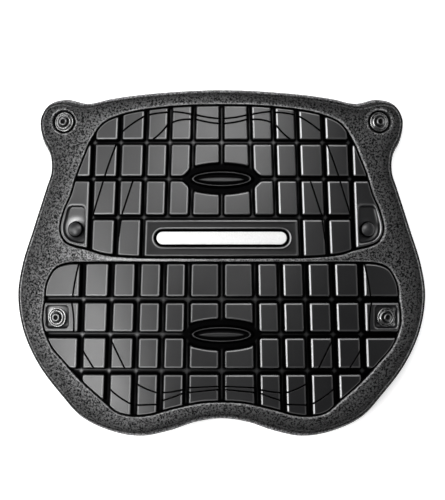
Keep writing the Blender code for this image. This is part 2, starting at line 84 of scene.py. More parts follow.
# Grooves. Rows: up. Fans: across at the top end and at the foot, and up at those ends. All are shares.
UPPER_ROWS = (0.698, 0.487, 0.264)
LOWER_ROWS = (-0.211, -0.414, -0.625)
UPPER_FAN = (
    (0.000, 0.000, 1.000, 0.264), (0.132, 0.153, 1.000, 0.264), (0.248, 0.268, 1.000, 0.264),
    (0.362, 0.393, 1.000, -0.040), (0.488, 0.523, 1.000, -0.040), (0.618, 0.651, 1.000, -0.040),
)
LOWER_FAN = (
    (0.000, 0.000, 0.080, -1.000), (0.161, 0.180, 0.080, -1.000), (0.281, 0.308, 0.080, -1.000),
    (0.406, 0.435, 0.080, -1.000), (0.535, 0.571, 0.080, -1.000), (0.676, 0.708, 0.080, -1.000),
)

# Fine cuts across the right half's tiles. Columns, in millimetres: across and up of both ends, and bow.
UPPER_CUTS = (
    (43.1, 91.3, 33.3, 92.5, -0.2), (40.2, 77.4, 33.6, 84.3, 0.3), (28.9, 92.8, 19.1, 91.3, -0.2),
    (28.9, 86.8, 19.1, 88.1, -0.5), (14.4, 90.6, 2.1, 88.7, 0.3), (14.4, 87.8, 2.1, 85.6, 0.3),
    (59.0, 82.4, 47.6, 90.0, -0.3), (65.1, 72.0, 71.7, 53.6, 0.2), (73.0, 49.4, 78.6, 31.0, 0.0),
    (54.8, 49.4, 61.0, 30.5, 0.0), (61.7, 26.4, 63.3, 15.6, 0.0),
)
LOWER_CUTS = (
    (87.8, -0.7, 91.4, -19.2, 0.3), (92.3, -23.9, 90.9, -40.5, -0.5), (86.3, -52.3, 79.1, -64.0, 0.0),
    (68.3, -46.6, 59.6, -64.5, 0.0), (70.4, -75.8, 58.1, -85.3, 0.6), (53.5, -73.2, 41.9, -78.9, 0.5),
    (36.9, -79.5, 25.9, -78.2, 0.3), (20.5, -76.5, 3.8, -75.8, 0.0), (50.6, -87.2, 41.9, -86.9, 0.0),
    (36.9, -84.5, 25.9, -80.8, 0.2), (20.5, -79.5, 3.8, -77.8, 0.0),
)

# Places of the right half's fastenings, as shares of the half sizes
EAR_STUD_PLACE = (0.777, 0.818)
LOW_STUD_PLACE = (0.810, -0.314)
STUD_WELL_PLACE = (0.806, -0.310)
RIVET_PLACE = (0.717, 0.195)
RIVET_WELL = ((0.670, 0.330), (0.752, 0.330), (0.781, 0.190), (0.758, 0.134), (0.714, 0.112), (0.670, 0.110))
PANEL_UP = 0.144
UPPER_BOSS_UP = 0.486
LOWER_BOSS_UP = -0.412


class Side(Enum):
    """The two mirrored halves."""

    LEFT = -1
    RIGHT = 1


class Seat(Enum):
    """Where a press stud sits."""

    EAR = "ear"
    LOW = "low"


def fade(distance: Points, reach: float) -> Points:
    """Falls off beyond distance zero, to a share of 1/e at the reach."""
    return np.exp(-np.maximum(distance, 0) / reach)


def swell(distance: Points, width: float) -> Points:
    """A bell curve over a distance, with a share of 1/e at the width."""
    return np.exp(-((distance / width) ** 2))


def swells(distance: Points, rows: Sequence[Row]) -> Points:
    """The sum of bell curves over a distance. Rows, in millimetres: height, place and width."""
    return sum(height * MM * swell(distance - place * MM, width * MM) for height, place, width in rows)


def circle(count: int, turn: int = 1) -> Points:
    """Unit directions spaced evenly round a full turn, clockwise where the turn is -1."""
    angles = np.linspace(0, turn * 2 * math.pi, count, endpoint=False)
    return np.column_stack([np.cos(angles), np.sin(angles)])


def smooth_ring(points: Points, steps: int) -> Points:
    """A smooth closed curve through points: on each stretch the four nearest points are blended two by
    two, by how far along their spacing the curve has come, until one point is left.

    Args:
        points: the ring of points that the curve passes.
        steps: points made on each stretch.

    Returns:
        The finer ring.
    """
    ring = [np.roll(points, shift, axis=0)[:, None, :] for shift in (1, 0, -1, -2)]
    knots = [np.zeros((len(points), 1, 1))]
    for near, far in zip(ring, ring[1:]):
        knots.append(knots[-1] + np.sqrt(np.linalg.norm(far - near, axis=2, keepdims=True)))
    along = knots[1] + (knots[2] - knots[1]) * np.arange(steps)[None, :, None] / steps

    def between(low: Points, high: Points, first: int, last: int) -> Points:
        """The straight blend of two curves over the knots from first to last."""
        share = (along - knots[first]) / (knots[last] - knots[first])
        return low * (1 - share) + high * share

    ends = [between(ring[i], ring[i + 1], i, i + 1) for i in range(3)]
    middles = [between(ends[i], ends[i + 1], i, i + 2) for i in range(2)]
    return between(middles[0], middles[1], 1, 2).reshape(-1, 2)


@dataclass
class ChestForm:
    """The curve that the flat drawing is bent onto: the fall from the crown grows with the square of
    the share of each half size, and a level is laid off along the curve's own normal."""

    half_width: float = 125.6 * MM
    half_height: float = 106.5 * MM
    side_fall: float = 32.0 * MM
    end_fall: float = 10.3 * MM
    underside: float = -11.8 * MM
    lift: float = 0.0

    @property
    def half_sizes(self) -> Points:
        """Half width and half height."""
        return np.array([self.half_width, self.half_height])

    def place(self, shares: Sequence[float], side: Side = Side.RIGHT) -> Points:
        """A place given as shares for the right half, on either side."""
        return np.array(shares) * self.half_sizes * (side.value, 1)

    def surface(self, plan: Points) -> tuple[Points, Points]:
        """Heights and normals of the tile tops over plan points."""
        shares = plan / self.half_sizes
        falls = np.array([self.side_fall, self.end_fall])
        slopes = 2 * falls * shares / self.half_sizes
        normals = np.concatenate([slopes, np.ones(slopes.shape[:-1] + (1,))], axis=-1)
        normals /= np.linalg.norm(normals, axis=-1, keepdims=True)
        return -(shares**2) @ falls, normals

    def bend(self, points: Points) -> Points:
        """Flat (across, up, level) points set on the chest curve and raised off the ground."""
        heights, normals = self.surface(points[..., :2])
        based = np.concatenate([points[..., :2], heights[..., None] + self.lift], axis=-1)
        return based + normals * points[..., 2:]

    def raised(self, plan: Points, level: Points | float) -> Points:
        """Plan points at a level each, or at one for all, bent onto the chest curve."""
        levels = np.broadcast_to(level, plan.shape[:-1])
        return self.bend(np.concatenate([plan, levels[..., None]], axis=-1))

    def spread(self, plan: Points, level: float) -> Points:
        """The flat plan points that the bend brings under the given points at a level."""
        flat = plan.copy()
        for _ in range(SPREAD_ROUNDS):
            flat = plan - self.surface(flat)[1][:, :2] * level
        return flat


@dataclass
class GridField:
    """A field known on a square grid of points, and read between them by weighting four corners."""

    origin: Points
    pitch: float
    values: Points

    def __call__(self, points: Points) -> Points:
        """The field's value at each point."""
        cells = (points - self.origin) / self.pitch
        last = np.array(self.values.shape) - 2
        low = np.clip(np.floor(cells).astype(int), 0, last)
        share = cells - low
        across, up = share[..., 0], share[..., 1]
        i, j = low[..., 0], low[..., 1]
        near = self.values[i, j] * (1 - across) + self.values[i + 1, j] * across
        far = self.values[i, j + 1] * (1 - across) + self.values[i + 1, j + 1] * across
        return near * (1 - up) + far * up


@dataclass
class Outline:
    """A closed ring of plan points that runs anticlockwise."""

    ring: Points

    @staticmethod
    def of_table(table: Sequence[Row], form: ChestForm, steps: int) -> "Outline":
        """The smooth outline of a right half and its mirror image.

        Args:
            table: rows of across and up, as shares of the half sizes.
            form: the chest form that gives the half sizes.
            steps: points on each stretch between two rows.

        Returns:
            The outline.
        """
        right = np.array(table) * form.half_sizes
        whole = np.concatenate([right, right[-2:0:-1] * (-1, 1)])
        return Outline(smooth_ring(whole, steps)[::-1].copy())

    def moved(self, distance: float) -> Points:
        """The ring moved outwards at right angles to its own run."""
        run = np.roll(self.ring, -1, axis=0) - np.roll(self.ring, 1, axis=0)
        run /= np.linalg.norm(run, axis=1)[:, None]
        return self.ring + np.column_stack([run[:, 1], -run[:, 0]]) * distance

    def distances(self, points: Points) -> Points:
        """Distance of each point from the nearest side of the ring, negative inside: a point is inside
        where a ray to its right crosses an odd number of sides."""
        starts = self.ring
        runs = np.roll(starts, -1, axis=0) - starts
        lengths = (runs**2).sum(axis=1)
        flat = points.reshape(-1, 2)
        found = []
        for share in np.array_split(flat, 1 + len(flat) * len(starts) // 3_000_000):
            away = share[:, None] - starts
            along = np.clip((away * runs).sum(axis=2) / lengths, 0, 1)
            gaps = np.linalg.norm(away - along[..., None] * runs, axis=2).min(axis=1)
            above = (away[..., 1] >= 0) != (away[..., 1] - runs[:, 1] >= 0)
            turn = runs[:, 0] * away[..., 1] - runs[:, 1] * away[..., 0]
            crossed = above & ((turn > 0) == (runs[:, 1] > 0))
            found.append(np.where(crossed.sum(axis=1) % 2 == 1, -gaps, gaps))
        return np.concatenate(found).reshape(points.shape[:-1])

    def sampled(self, pitch: float, margin: float) -> GridField:
        """The distances on a grid over the ring's box and a margin."""
        low = self.ring.min(axis=0) - margin
        count = np.ceil((self.ring.max(axis=0) + margin - low) / pitch).astype(int) + 1
        grid = np.stack(np.meshgrid(*[np.arange(n) * pitch for n in count], indexing="ij"), axis=-1)
        return GridField(low, pitch, self.distances(grid + low))


def beyond(start: Points, end: Points, gap: float, bow: float = 0.0) -> Field:
    """Distance to the left of a line, plus a gap kept from it: negative well to its right. The line may
    bow out by a parabola between its ends.

    Args:
        start: where the line starts.
        end: where it ends.
        gap: how far to the right of the line the value is zero.
        bow: how far the line's middle lies to the left of its ends.

    Returns:
        The field.
    """
    run = np.asarray(end, float) - start
    length = float(np.linalg.norm(run))
    unit = run / length
    left = np.array([-unit[1], unit[0]])

    def value(points: Points) -> Points:
        """The field's value at each point."""
        away = points - start
        share = away @ unit / length * 2 - 1
        return away @ left - bow * np.clip(1 - share**2, -1, 1) + gap

    return value


def rounded_meet(fields: Sequence[Field], radius: float) -> Field:
    """The region inside every field, with its corners rounded: each distance is taken from a region
    smaller by the radius, the positive ones add up as the sides of a right triangle do, and the radius
    is taken off again.

    Args:
        fields: fields that are negative inside.
        radius: the corner radius.

    Returns:
        The field of the rounded region.
    """

    def value(points: Points) -> Points:
        """The field's value at each point."""
        inner = np.stack([one(points) for one in fields]) + radius
        outside = np.sqrt((np.maximum(inner, 0) ** 2).sum(axis=0))
        return outside + np.minimum(inner.max(axis=0), 0) - radius

    return value


def polygon_field(corners: Points, radius: float) -> Field:
    """The rounded region inside a convex polygon whose corners run anticlockwise."""
    sides = zip(corners, np.roll(corners, -1, axis=0))
    return rounded_meet([beyond(end, start, 0.0) for start, end in sides], radius)


def stadium_field(centre: Points, length: float, width: float) -> Field:
    """Distance from a bar with half-round ends: the distance from its middle line less half its width."""
    reach = (length - width) / 2

    def value(points: Points) -> Points:
        """The field's value at each point."""
        away = points - centre
        across = np.abs(away[..., 0]) - reach
        return np.hypot(np.maximum(across, 0), away[..., 1]) - width / 2

    return value


def ray_reach(field_of: Field, centre: Points, rays: Points, values: Points, reach: float) -> Points:
    """How far along each ray the field first passes each value, found by halving the stretch.

    Args:
        field_of: a field that grows outwards along the rays.
        centre: where the rays start.
        rays: unit directions, one a row.
        values: the values to find.
        reach: the longest distance tried.

    Returns:
        Distances, a row for each value and a column for each ray.
    """
    low = np.zeros((len(values), len(rays)))
    high = np.full_like(low, reach)
    for _ in range(HALVINGS):
        middle = (low + high) / 2
        inside = field_of(centre + middle[..., None] * rays) < values[:, None]
        low = np.where(inside, middle, low)
        high = np.where(inside, high, middle)
    return (low + high) / 2


def spaced_rays(
    field_of: Field, centre: Points, count: int, reach: float, corner: float = 4.0 * MM
) -> Points:
    """Ray directions that share out the region's edge evenly, where a corner counts as extra length in
    proportion to how far it turns.

    Args:
        field_of: the region's field.
        centre: where the rays start.
        count: how many rays.
        reach: the longest distance tried.
        corner: extra length for each radian of turning.

    Returns:
        Unit directions, one a row.
    """
    angles = np.linspace(0, 2 * math.pi, 721)
    fine = np.column_stack([np.cos(angles), np.sin(angles)])
    edge = centre + ray_reach(field_of, centre, fine, np.zeros(1), reach)[0][:, None] * fine
    run = np.diff(edge, axis=0)
    heading = np.unwrap(np.arctan2(run[:, 1], run[:, 0]))
    turn = np.abs(np.diff(heading, append=heading[0] + 2 * math.pi))
    weight = np.linalg.norm(run, axis=1) + corner * np.minimum(turn, 0.5)
    total = np.concatenate([[0.0], np.cumsum(weight)])
    picked = np.interp(np.arange(count) / count * total[-1], total, angles)
    return np.column_stack([np.cos(picked), np.sin(picked)])


@dataclass
class Sheets:
    """Grids of points gathered into one mesh, with a rim value (painted highlight) and a painted shade value
    for each point.
    """

    points: list[Points] = field(default_factory=list)
    quads: list[NDArray[np.int64]] = field(default_factory=list)
    tris: list[NDArray[np.int64]] = field(default_factory=list)
    painted_highlights: list[Points] = field(default_factory=list)
    painted_shades: list[Points] = field(default_factory=list)
    total: int = 0

    def keep(self, points: Points, rim: Points | float, painted_shade: Points | float) -> int:
        """Adds points and says at which index they start."""
        start = self.total
        self.points.append(points)
        self.painted_highlights.append(np.broadcast_to(rim, len(points)))
        self.painted_shades.append(np.broadcast_to(painted_shade, len(points)))
        self.total += len(points)
        return start

    def cut_grid(
        self,
        points: Points,
        faces: Faces,
        rim: Points | float = 0.0,
        painted_shade: Points | float = 0.0,
        down: bool = False,
    ) -> None:
        """Adds a trimmed grid's points, laid in space, with its faces.

        Args:
            points: the grid's points in space.
            faces: the grid's four-cornered and three-cornered faces.
            rim: painted highlight, a value for each point, or one for all.
            painted_shade: painted shade, a value for each point, or one for all.
            down: whether the faces look down.
        """
        start = self.keep(points, rim, painted_shade)
        quads, tris = (kind[:, ::-1] + start if down else kind + start for kind in faces)
        self.quads.append(quads)
        self.tris.append(tris)

    def rings(
        self, grid: Points, rim: Points | None = None, painted_shade: Points | None = None, cap: bool = True
    ) -> None:
        """Adds closed rings that run anticlockwise, from the outermost to the innermost.

        Args:
            grid: points, by ring, then by place on the ring.
            rim: a value for each ring or each point, for painted highlights on edges.
            painted_shade: a value for each ring or each point, for painted shade.
            cap: whether the last ring is closed over its middle.
        """
        count, around = grid.shape[:2]
        given = (np.zeros(count) if values is None else np.asarray(values) for values in (rim, painted_shade))
        flat = (np.repeat(one, around) if one.ndim == 1 else one.ravel() for one in given)
        painted_highlight_values, painted_shade_values = flat
        start = self.keep(grid.reshape(-1, 3), painted_highlight_values, painted_shade_values)
        index = start + np.arange(count * around).reshape(count, around)
        after = np.roll(index, -1, axis=1)
        self.quads.append(np.stack([index[:-1], after[:-1], after[1:], index[1:]], axis=-1).reshape(-1, 4))
        if cap:
            tip = self.keep(grid[-1].mean(axis=0)[None], painted_highlight_values[-1:], painted_shade_values[-1:])
            self.tris.append(np.column_stack([index[-1], after[-1], np.full(around, tip)]))

    def mesh(self, name: str) -> bpy.types.Mesh:
        """The mesh of all that was added, with its values as point attributes and smooth faces.

        Args:
            name: the mesh's name.

        Returns:
            The mesh.
        """
        mesh = bpy.data.meshes.new(name)
        points = np.concatenate(self.points)
        corners = np.concatenate([np.concatenate(kind).ravel() for kind in (self.quads, self.tris) if kind])
        sizes = np.repeat((4, 3), [sum(map(len, kind)) for kind in (self.quads, self.tris)])
        mesh.vertices.add(len(points))
        mesh.vertices.foreach_set("co", points.astype(np.float32).ravel())
        mesh.loops.add(len(corners))
        mesh.loops.foreach_set("vertex_index", corners.astype(np.int32))
        mesh.polygons.add(len(sizes))
        mesh.polygons.foreach_set("loop_start", (np.cumsum(sizes) - sizes).astype(np.int32))
        mesh.update(calc_edges=True)
        mesh.validate()
        for label, values in (("rim", self.painted_highlights), ("painted_shade", self.painted_shades)):
            attribute = mesh.attributes.new(label, "FLOAT", "POINT")
            attribute.data.foreach_set("value", np.concatenate(values).astype(np.float32))
        mesh.shade_smooth()
        return mesh


def shown(
    name: str, mesh: bpy.types.Mesh, material: bpy.types.Material, slot: str, *nodes: str
) -> bpy.types.Object:
    """A piece in the scene that rides on the body and stands for nodes of the frame.

    Args:
        name: the piece's name.
        mesh: its mesh, in place.
        material: its finish.
        slot: not used.
        nodes: the nodes that it stands for.

    Returns:
        The object.
    """
    piece = bpy.data.objects.new(name, mesh)
    bpy.context.scene.collection.objects.link(piece)
    mesh.materials.append(material)
    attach(piece, "root")
    if nodes:
        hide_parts(*nodes)
    LOG.info("%s: %d faces", name, len(mesh.polygons))
    return piece


def turned_sheet(
    profile: Sequence[Row],
    around: int,
    form: ChestForm,
    plan: Points,
    level: float,
    shade: Callable[[Points, Points], Points] | None = None,
) -> Sheets:
    """A profile carried round an axis that stands at right angles to the chest curve.

    Args:
        profile: rows of radius, height, painted highlight value and painted shade value, from the outer foot
            to the middle.
        around: points on a full turn.
        form: the chest form.
        plan: where the axis meets the flat drawing.
        level: the level of height zero.
        shade: painted shade values to add, from radii in millimetres and angles.

    Returns:
        The sheets of the turned piece.
    """
    rows = np.array(profile, float)
    base = form.bend(np.array([*plan, level]))
    normal = Vector(form.surface(np.asarray(plan))[1])
    turn = np.array(normal.to_track_quat("Z", "Y").to_matrix())
    angles = np.linspace(0, 2 * math.pi, around, endpoint=False)
    ring = np.column_stack([np.cos(angles), np.sin(angles), np.zeros(around)])
    grid = rows[:, 0, None, None] * ring + rows[:, 1, None, None] * (0.0, 0.0, 1.0)
    painted_shade = np.repeat(rows[:, 3:], around, axis=1)
    if shade is not None:
        painted_shade = np.maximum(painted_shade, shade(rows[:, :1], angles))
    made = Sheets()
    made.rings(grid * MM @ turn.T + base, rows[:, 2], painted_shade)
    return made


class Nodes:
    """A node tree being filled in."""

    def __init__(self, tree: bpy.types.NodeTree) -> None:
        """Starts on a tree."""
        self.tree = tree

    def add(self, kind: str, **settings: object) -> bpy.types.Node:
        """A new node with its settings.

        Args:
            kind: the node's type name.
            settings: attributes of the node, by name.

        Returns:
            The node.
        """
        node = self.tree.nodes.new(kind)
        for name, value in settings.items():
            setattr(node, name, value)
        return node

    def join(self, source: bpy.types.NodeSocket, target: bpy.types.NodeSocket) -> None:
        """Links an output to an input."""
        self.tree.links.new(source, target)

    def maths(self, operation: str, first: object, second: object) -> bpy.types.NodeSocket:
        """The result of a sum on sockets or numbers."""
        node = self.add("ShaderNodeMath", operation=operation)
        for socket, value in zip(node.inputs, (first, second)):
            if isinstance(value, bpy.types.NodeSocket):
                self.join(value, socket)
            else:
                socket.default_value = value
        return node.outputs[0]

    def blend(self, factor: bpy.types.NodeSocket, low: object, high: object) -> bpy.types.NodeSocket:
        """A colour between two colours or colour sockets."""
        node = self.add("ShaderNodeMix", data_type="RGBA")
        self.join(factor, node.inputs[0])
        for socket, value in ((node.inputs[6], low), (node.inputs[7], high)):
            if isinstance(value, bpy.types.NodeSocket):
                self.join(value, socket)
            else:
                socket.default_value = (*value, 1.0)
        return node.outputs[2]

    def spanned(self, value: bpy.types.NodeSocket, low: float, high: float) -> bpy.types.NodeSocket:
        """A value from 0 to 1 spread over another span."""
        node = self.add("ShaderNodeMapRange")
        self.join(value, node.inputs["Value"])
        node.inputs["To Min"].default_value = low
        node.inputs["To Max"].default_value = high
        return node.outputs[0]


def grain_group() -> bpy.types.NodeTree:
    """The shared grain: a coarse cloud, a fine speckle and pits, all from the place on the piece.

    Returns:
        The node group, with Cloud, Speckle and Height as its outputs.
    """
    group = bpy.data.node_groups.new("surface_grain", "ShaderNodeTree")
    group.interface.new_socket("Vector", in_out="INPUT", socket_type="NodeSocketVector")
    for name in ("Cloud Scale", "Speckle Scale", "Contrast"):
        group.interface.new_socket(name, in_out="INPUT", socket_type="NodeSocketFloat")
    for name in ("Cloud", "Speckle", "Height"):
        group.interface.new_socket(name, in_out="OUTPUT", socket_type="NodeSocketFloat")
    nodes = Nodes(group)
    given = nodes.add("NodeGroupInput")
    result = nodes.add("NodeGroupOutput")
    cloud = nodes.add("ShaderNodeTexNoise")
    cloud.inputs["Detail"].default_value = 3.0
    speckle = nodes.add("ShaderNodeTexNoise")
    speckle.inputs["Detail"].default_value = 2.0
    speckle.inputs["Roughness"].default_value = 0.75
    pits = nodes.add("ShaderNodeTexVoronoi")
    for node, scale in ((cloud, "Cloud Scale"), (speckle, "Speckle Scale"), (pits, "Speckle Scale")):
        nodes.join(given.outputs["Vector"], node.inputs["Vector"])
        nodes.join(given.outputs[scale], node.inputs["Scale"])
    sharp = nodes.add("ShaderNodeMath", operation="MULTIPLY_ADD", use_clamp=True)
    nodes.join(nodes.maths("SUBTRACT", speckle.outputs[0], 0.5), sharp.inputs[0])
    nodes.join(given.outputs["Contrast"], sharp.inputs[1])
    sharp.inputs[2].default_value = 0.5
    height = nodes.maths("ADD", sharp.outputs[0], nodes.maths("MULTIPLY", pits.outputs["Distance"], 0.6))
    nodes.join(cloud.outputs[0], result.inputs["Cloud"])
    nodes.join(sharp.outputs[0], result.inputs["Speckle"])
    nodes.join(height, result.inputs["Height"])
    return group


@dataclass(frozen=True)
class Finish:
    """One finish: two tones that the speckle runs between, the tone of the painted highlights (rim) and of
    the painted shade, and how rough and bumpy it is. The shade dimming takes the sheen from the painted
    shade, and pitting from the dark spots, which it also keeps dark where the painted highlight is faint."""

    name: str
    dark: tuple[float, float, float]
    light: tuple[float, float, float]
    rim: tuple[float, float, float]
    painted_shade: tuple[float, float, float]
    rough: tuple[float, float]
    metallic: float = 0.0
    specular: float = 0.5
    cloud_size: float = 12 * MM
    speckle_size: float = 1 * MM
    bump: float = 0.02 * MM
    bump_strength: float = 0.5
    shade_dimming: float = 0.0
    pitting: float = 0.0
    contrast: float = 2.5
    rim_polish: float = 0.1

    def made(self, grain: bpy.types.NodeTree) -> bpy.types.Material:
        """The material of this finish.

        Args:
            grain: the shared grain group.

        Returns:
            The material.
        """
        material = bpy.data.materials.new(self.name)
        material.use_nodes = True
        nodes = Nodes(material.node_tree)
        shader = material.node_tree.nodes["Principled BSDF"]
        shader.inputs["Specular IOR Level"].default_value = self.specular
        place = nodes.add("ShaderNodeTexCoord")
        texture = nodes.add("ShaderNodeGroup", node_tree=grain)
        nodes.join(place.outputs["Object"], texture.inputs["Vector"])
        texture.inputs["Cloud Scale"].default_value = 1 / self.cloud_size
        texture.inputs["Speckle Scale"].default_value = 1 / self.speckle_size
        texture.inputs["Contrast"].default_value = self.contrast
        speckle = texture.outputs["Speckle"]
        # rim carries the painted highlights; painted_shade carries the painted shade of grooves, walls and
        # hollows.
        rim = nodes.add("ShaderNodeAttribute", attribute_name="rim")
        painted_shade = nodes.add("ShaderNodeAttribute", attribute_name="painted_shade")
        if self.pitting:
            speckle = nodes.maths("MAXIMUM", speckle, nodes.maths("POWER", rim.outputs["Fac"], 2.5))
            tone = nodes.blend(speckle, self.dark, nodes.blend(rim.outputs["Fac"], self.light, self.rim))
        else:
            tone = nodes.blend(rim.outputs["Fac"], nodes.blend(speckle, self.dark, self.light), self.rim)
        nodes.join(nodes.blend(painted_shade.outputs["Fac"], tone, self.painted_shade), shader.inputs["Base Color"])
        # Painted shade also drives Metallic here, so its dark tone takes away the sheen as well.
        if self.shade_dimming:
            shade_dim = nodes.maths("MULTIPLY", painted_shade.outputs["Fac"], self.shade_dimming)
            pits = nodes.maths("MULTIPLY", nodes.maths("SUBTRACT", 1.0, speckle), self.pitting)
            nodes.join(nodes.maths("MAXIMUM", shade_dim, pits), shader.inputs["Metallic"])
        else:
            shader.inputs["Metallic"].default_value = self.metallic
        rough = nodes.spanned(texture.outputs["Cloud"], *self.rough)
        rough = nodes.maths("ADD", rough, nodes.maths("MULTIPLY", painted_shade.outputs["Fac"], 0.25))
        rough = nodes.maths("SUBTRACT", rough, nodes.maths("MULTIPLY", rim.outputs["Fac"], self.rim_polish))
        nodes.join(rough, shader.inputs["Roughness"])
        bump = nodes.add("ShaderNodeBump")
        bump.inputs["Strength"].default_value = self.bump_strength
        bump.inputs["Distance"].default_value = self.bump
        nodes.join(texture.outputs["Height"], bump.inputs["Height"])
        nodes.join(bump.outputs[0], shader.inputs["Normal"])
        return material


# In each finish the rim tone is the colour of the painted highlights, and the painted_shade tone the colour
# of the painted shade.
FOAM_FINISH = Finish(
    name="moulded_foam",
    dark=(0.002, 0.002, 0.0021),
    light=(0.066, 0.066, 0.067),
    rim=(0.480, 0.480, 0.485),
    painted_shade=(0.004, 0.004, 0.0042),
    rough=(0.40, 0.48),
    cloud_size=20 * MM,
    speckle_size=1.2 * MM,
    bump=0.20 * MM,
    bump_strength=1.0,
    shade_dimming=0.9,
    pitting=0.9,
    contrast=6.0,
    rim_polish=0.12,
)
PLATE_FINISH = Finish(
    name="satin_black_plastic",
    dark=(0.005, 0.005, 0.0055),
    light=(0.009, 0.009, 0.0098),
    rim=(0.700, 0.700, 0.705),
    painted_shade=(0.0016, 0.0016, 0.0017),
    rough=(0.27, 0.36),
    shade_dimming=1.0,
    cloud_size=14 * MM,
    speckle_size=0.5 * MM,
    bump=0.012 * MM,
    bump_strength=0.35,
)
BAR_FINISH = Finish(
    name="pale_inlay",
    dark=(0.62, 0.62, 0.615),
    light=(0.74, 0.74, 0.735),
    rim=(0.80, 0.80, 0.80),
    painted_shade=(0.70, 0.70, 0.70),
    rough=(0.45, 0.6),
    speckle_size=0.6 * MM,
    bump=0.02 * MM,
)
NICKEL_FINISH = Finish(
    name="dark_nickel",
    dark=(0.08, 0.08, 0.082),
    light=(0.14, 0.14, 0.142),
    rim=(0.34, 0.34, 0.34),
    painted_shade=(0.008, 0.008, 0.008),
    rough=(0.30, 0.42),
    metallic=1.0,
    cloud_size=3 * MM,
    speckle_size=0.4 * MM,
    bump=0.01 * MM,
    bump_strength=0.3,
)
RIVET_FINISH = Finish(
    name="gloss_black_rivet",
    dark=(0.010, 0.010, 0.011),
    light=(0.018, 0.018, 0.019),
    rim=(0.06, 0.06, 0.06),
    painted_shade=(0.0016, 0.0016, 0.0016),
    rough=(0.30, 0.40),
    shade_dimming=1.0,
    cloud_size=4 * MM,
    speckle_size=0.5 * MM,
    bump=0.008 * MM,
    bump_strength=0.3,
)


@dataclass
class TileEdge:
    """How a tile's wall rises from the groove floor and rounds over to its top. Rows are in millimetres:
    out from the edge, level, painted highlight value and painted shade value; the walls are darkened with
    painted shade. A fine cut is steeper, and so is the border. The painted edge highlight is a share
    everywhere, one more where the edge faces the middle, and one more where it faces the foot (on the left
    half) or the head (on the right half)."""

    wall: tuple[Row, ...] = (
        (1.15, -3.60, 0.0, 0.9), (0.98, -3.46, 0.0, 1.0), (0.88, -3.10, 0.0, 1.0), (0.68, -2.20, 0.0, 1.0),
        (0.40, -1.30, 0.0, 1.0), (0.12, -0.74, 0.0, 0.9), (-0.14, -0.40, 0.1, 0.35), (-0.40, -0.17, 0.7, 0.0),
        (-0.62, -0.05, 1.0, 0.0), (-0.84, -0.01, 1.0, 0.0), (-1.02, 0.0, 0.6, 0.0), (-1.30, 0.0, 0.0, 0.0),
    )
    cut_gap: float = 0.26 * MM
    cut_steepness: float = 3.0
    cut_shade: float = 0.3 * MM
    border_steepness: float = 1.5
    corner: float = 1.15 * MM
    cut_corner: float = 0.75 * MM
    left_highlight: Row = (0.13, 0.16, 0.08)
    right_highlight: Row = (0.05, 0.90, 0.26)
    highlight_turn: float = 18 * MM
    rays: int = 76
    reach: float = 62 * MM

    def edge_highlight(self, plan: Points, facing: Points) -> Points:
        """How strong an edge's painted highlight is: most where it faces the plate's middle, next where it
        faces the foot on the left half and the head on the right half.

        Args:
            plan: plan points of the edge.
            facing: the direction that the edge faces at each point.

        Returns:
            Shares from 0 to 1.
        """
        side = np.tanh(plan[..., 0] / self.highlight_turn)
        inward = np.maximum(-facing[..., 0] * side, 0)
        everywhere, middle, foot = self.left_highlight
        left = everywhere + middle * inward**2 + foot * np.maximum(-facing[..., 1], 0)
        everywhere, middle, head = self.right_highlight
        right = everywhere + middle * inward**3 + head * np.maximum(facing[..., 1], 0) ** 2
        return left + (right - left) * (1 + side) / 2


@dataclass
class Recess:
    """A recess in a tile: rows in millimetres of distance out from its edge, level, painted highlight and
    painted shade value, from the outermost inwards. Its frame has such rows too, but measured from the tile's
    own edge. Its floor may dip towards a fastening, and take a painted sheen on the fastening's upper left."""

    region: Field
    centre: Points
    rows: tuple[Row, ...]
    frame: tuple[Row, ...] = ()
    dip_place: Points | None = None
    dip_radius: float = 5.0 * MM
    dip_reach: float = 3.4 * MM
    dip_depth: float = 0.7 * MM
    sheen_strength: float = 0.0
    sheen_reach: float = 3.6 * MM
    sheen_side: tuple[float, float] = (-0.42, 0.91)
    sheen_spread: tuple[float, float] = (0.35, 0.75)
    rays: int = 110

    def dip(self, plan: Points) -> Points:
        """How far the recess's floor sinks towards the fastening that sits in it: by a curve that grows
        steeper towards the fastening's rim, and only inside the recess."""
        if self.dip_place is None:
            return np.zeros(plan.shape[:-1])
        away = np.linalg.norm(plan - self.dip_place, axis=-1) - self.dip_radius
        share = np.clip(1 - away / self.dip_reach, 0, 1)
        inside = np.clip(-self.region(plan) / (0.8 * MM), 0, 1)
        return self.dip_depth * share**1.6 * inside

    def painted_sheen(self, plan: Points) -> Points:
        """How strong the painted sheen on the floor beside the fastening is: by a curve that grows steeper
        towards its rim, and most above it and a little to its left."""
        if self.dip_place is None:
            return np.zeros(plan.shape[:-1])
        away = plan - self.dip_place
        size = np.maximum(np.linalg.norm(away, axis=-1), 1e-6)
        least, most = self.sheen_spread
        above = np.clip(least + most * (away @ self.sheen_side) / size, 0, 1)
        near = np.clip(1 - (size - self.dip_radius) / self.sheen_reach, 0, 1)
        inside = np.clip((-self.region(plan) - 0.4 * MM) / (0.4 * MM), 0, 1)
        return self.sheen_strength * near**1.5 * above**2 * inside


